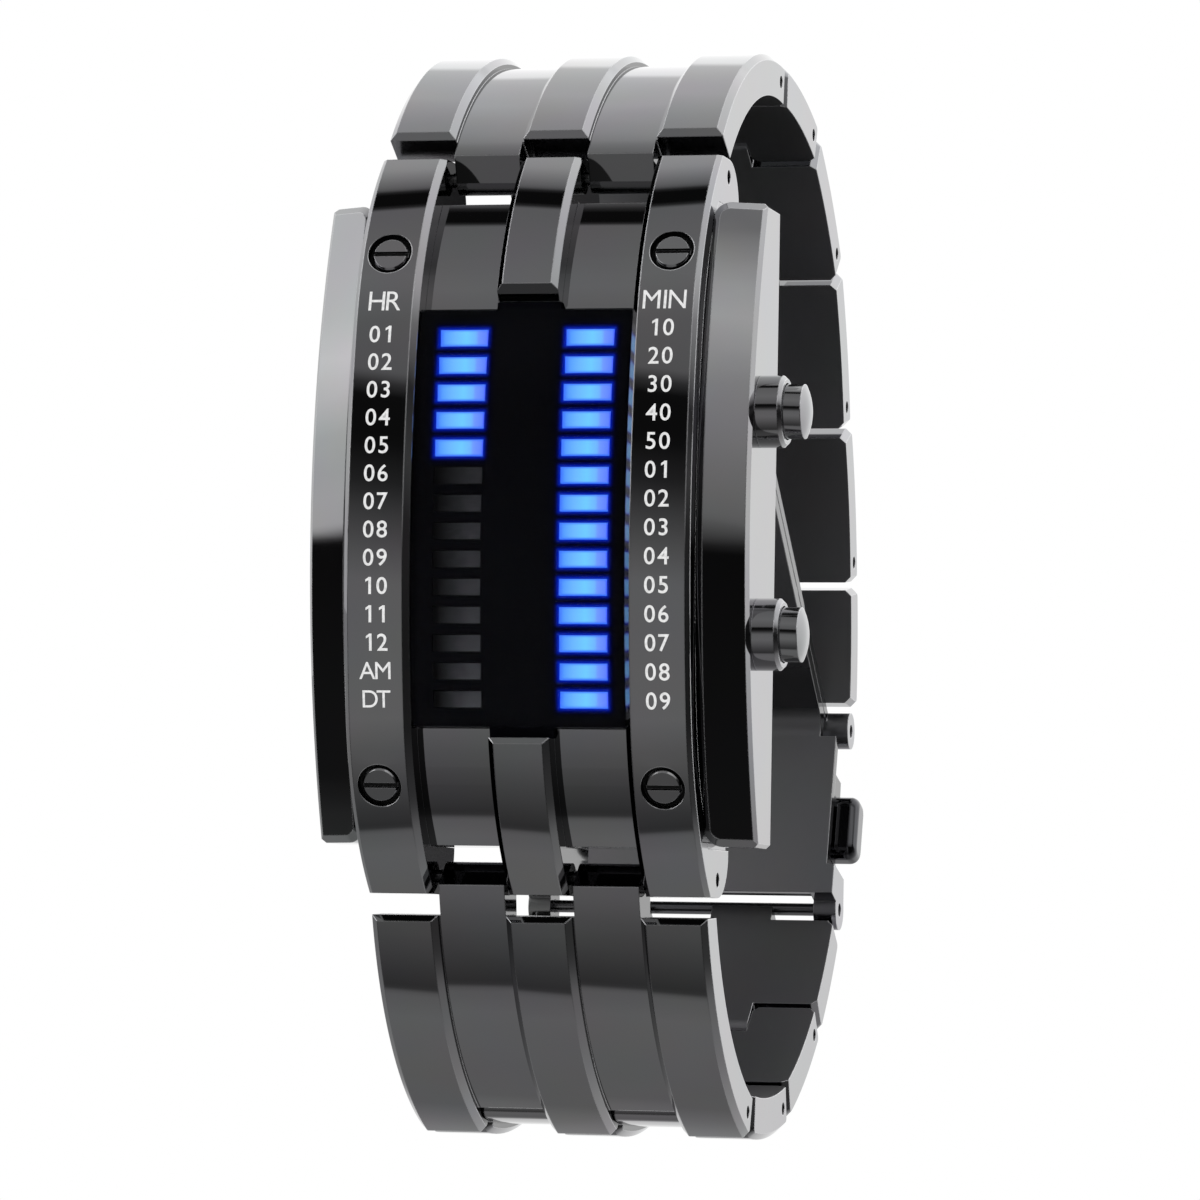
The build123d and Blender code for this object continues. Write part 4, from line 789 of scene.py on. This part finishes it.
hours = ["01", "02", "03", "04", "05", "06", "07", "08", "09", "10", "11", "12", "AM", "DT"]
minutes = ["10", "20", "30", "40", "50", "01", "02", "03", "04", "05", "06", "07", "08", "09"]
FIGURE_HEIGHT, HOUR_PITCH, MINUTE_PITCH = 1.22, 2.018, 2.047
print_label("scale_hours_head", "HR", x=-10.37, z=15.61, height=1.40, pitch=1.2)
print_label("scale_minutes_head", "MIN", x=10.21, z=15.56, height=1.36, pitch=1.02)
for row, (hour, minute) in enumerate(zip(hours, minutes)):
    # Down the rails the print moves slightly to the right, as in the photograph.
    share = row / (ROWS - 1)
    hour_z, minute_z = 13.17 - HOUR_PITCH * row, 13.52 - MINUTE_PITCH * row
    print_label(f"scale_hour_{row + 1}", hour, -10.45 + 0.2 * share, hour_z, FIGURE_HEIGHT)
    print_label(f"scale_minute_{row + 1}", minute, 10.17 + 0.22 * share, minute_z, FIGURE_HEIGHT)
print("labels printed:", 2 + len(hours) + len(minutes))

# %% [markdown]
# ## Painted shade round the screws
#
# Each slotted screw sits in a shallow round recess. The narrow ring between the head and
# the recess's wall gets painted shade: a black flat ring, a grid of a radius and an angle,
# laid on the floor of the recess. The floor of the slot in the head gets a strip of
# painted shade in the same way.

# %% Rings of painted shade in the recesses
# A black material for the painted shade in the recesses and slots.
recess_painted_shade, tree, surface = plain_material("recess_painted_shade", (0.004, 0.004, 0.004), 0.7,
                                             Specular_IOR_Level=0.1)
dusted(tree, surface, (0.003, 0.003, 0.003), (0.012, 0.012, 0.012), 2500.0, 0.3)
SCREW_X, SCREW_Z, RECESS_DEPTH = 10.43, 19.22, 0.75
SLOT_DEPTH, SLOT_HALF, HEAD_RADIUS = 0.40, 0.19, 1.3
RING_INNER, RING_OUTER = 1.31, 1.61
RING_LIFT, STRIP_LIFT = 0.04, 0.01


def in_recess(name, x, z, depth, across, along, rows, columns):
    """A patch of painted shade in a screw's recess: P - depth N + across X + along T.

    N leans with the rail's curve at the screw, and T runs along the rail.
    """
    side = np.sign(z)
    lean = np.arcsin((abs(z) - knee_z) / SHOULDER)
    normal = np.array((0.0, -np.cos(lean), side * np.sin(lean)))
    tangent = np.array((0.0, side * np.sin(lean), np.cos(lean)))
    middle = np.array((x, float(rail_front(z)), z)) - depth * normal
    points = middle + across.ravel()[:, None] * (1.0, 0.0, 0.0) + along.ravel()[:, None] * tangent
    patch = mesh_object(name, points, grid_faces(rows, columns)[:, ::-1])
    patch.data.materials.append(recess_painted_shade)
    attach(patch, "case")


radius, turn = np.meshgrid(np.linspace(RING_INNER, RING_OUTER, 3), np.linspace(0, 2 * np.pi, 65),
                           indexing="ij")
ring_x, ring_z = radius * np.cos(turn), radius * np.sin(turn)
slot_x, slot_z = np.meshgrid(np.linspace(0.97, -0.97, 5) * HEAD_RADIUS,
                             np.linspace(-0.95, 0.95, 3) * SLOT_HALF, indexing="ij")
screws = [(x, z) for x in (-SCREW_X, SCREW_X) for z in (-SCREW_Z, SCREW_Z)]
for number, (x, z) in enumerate(screws, start=1):
    in_recess(f"recess_shade_ring_{number}", x, z, RECESS_DEPTH - RING_LIFT, ring_x, ring_z, rows=3, columns=65)
    in_recess(f"slot_shade_{number}", x, z, SLOT_DEPTH - STRIP_LIFT, slot_x, slot_z, rows=5, columns=3)
print("dark rings and slots laid in", len(screws), "recesses")
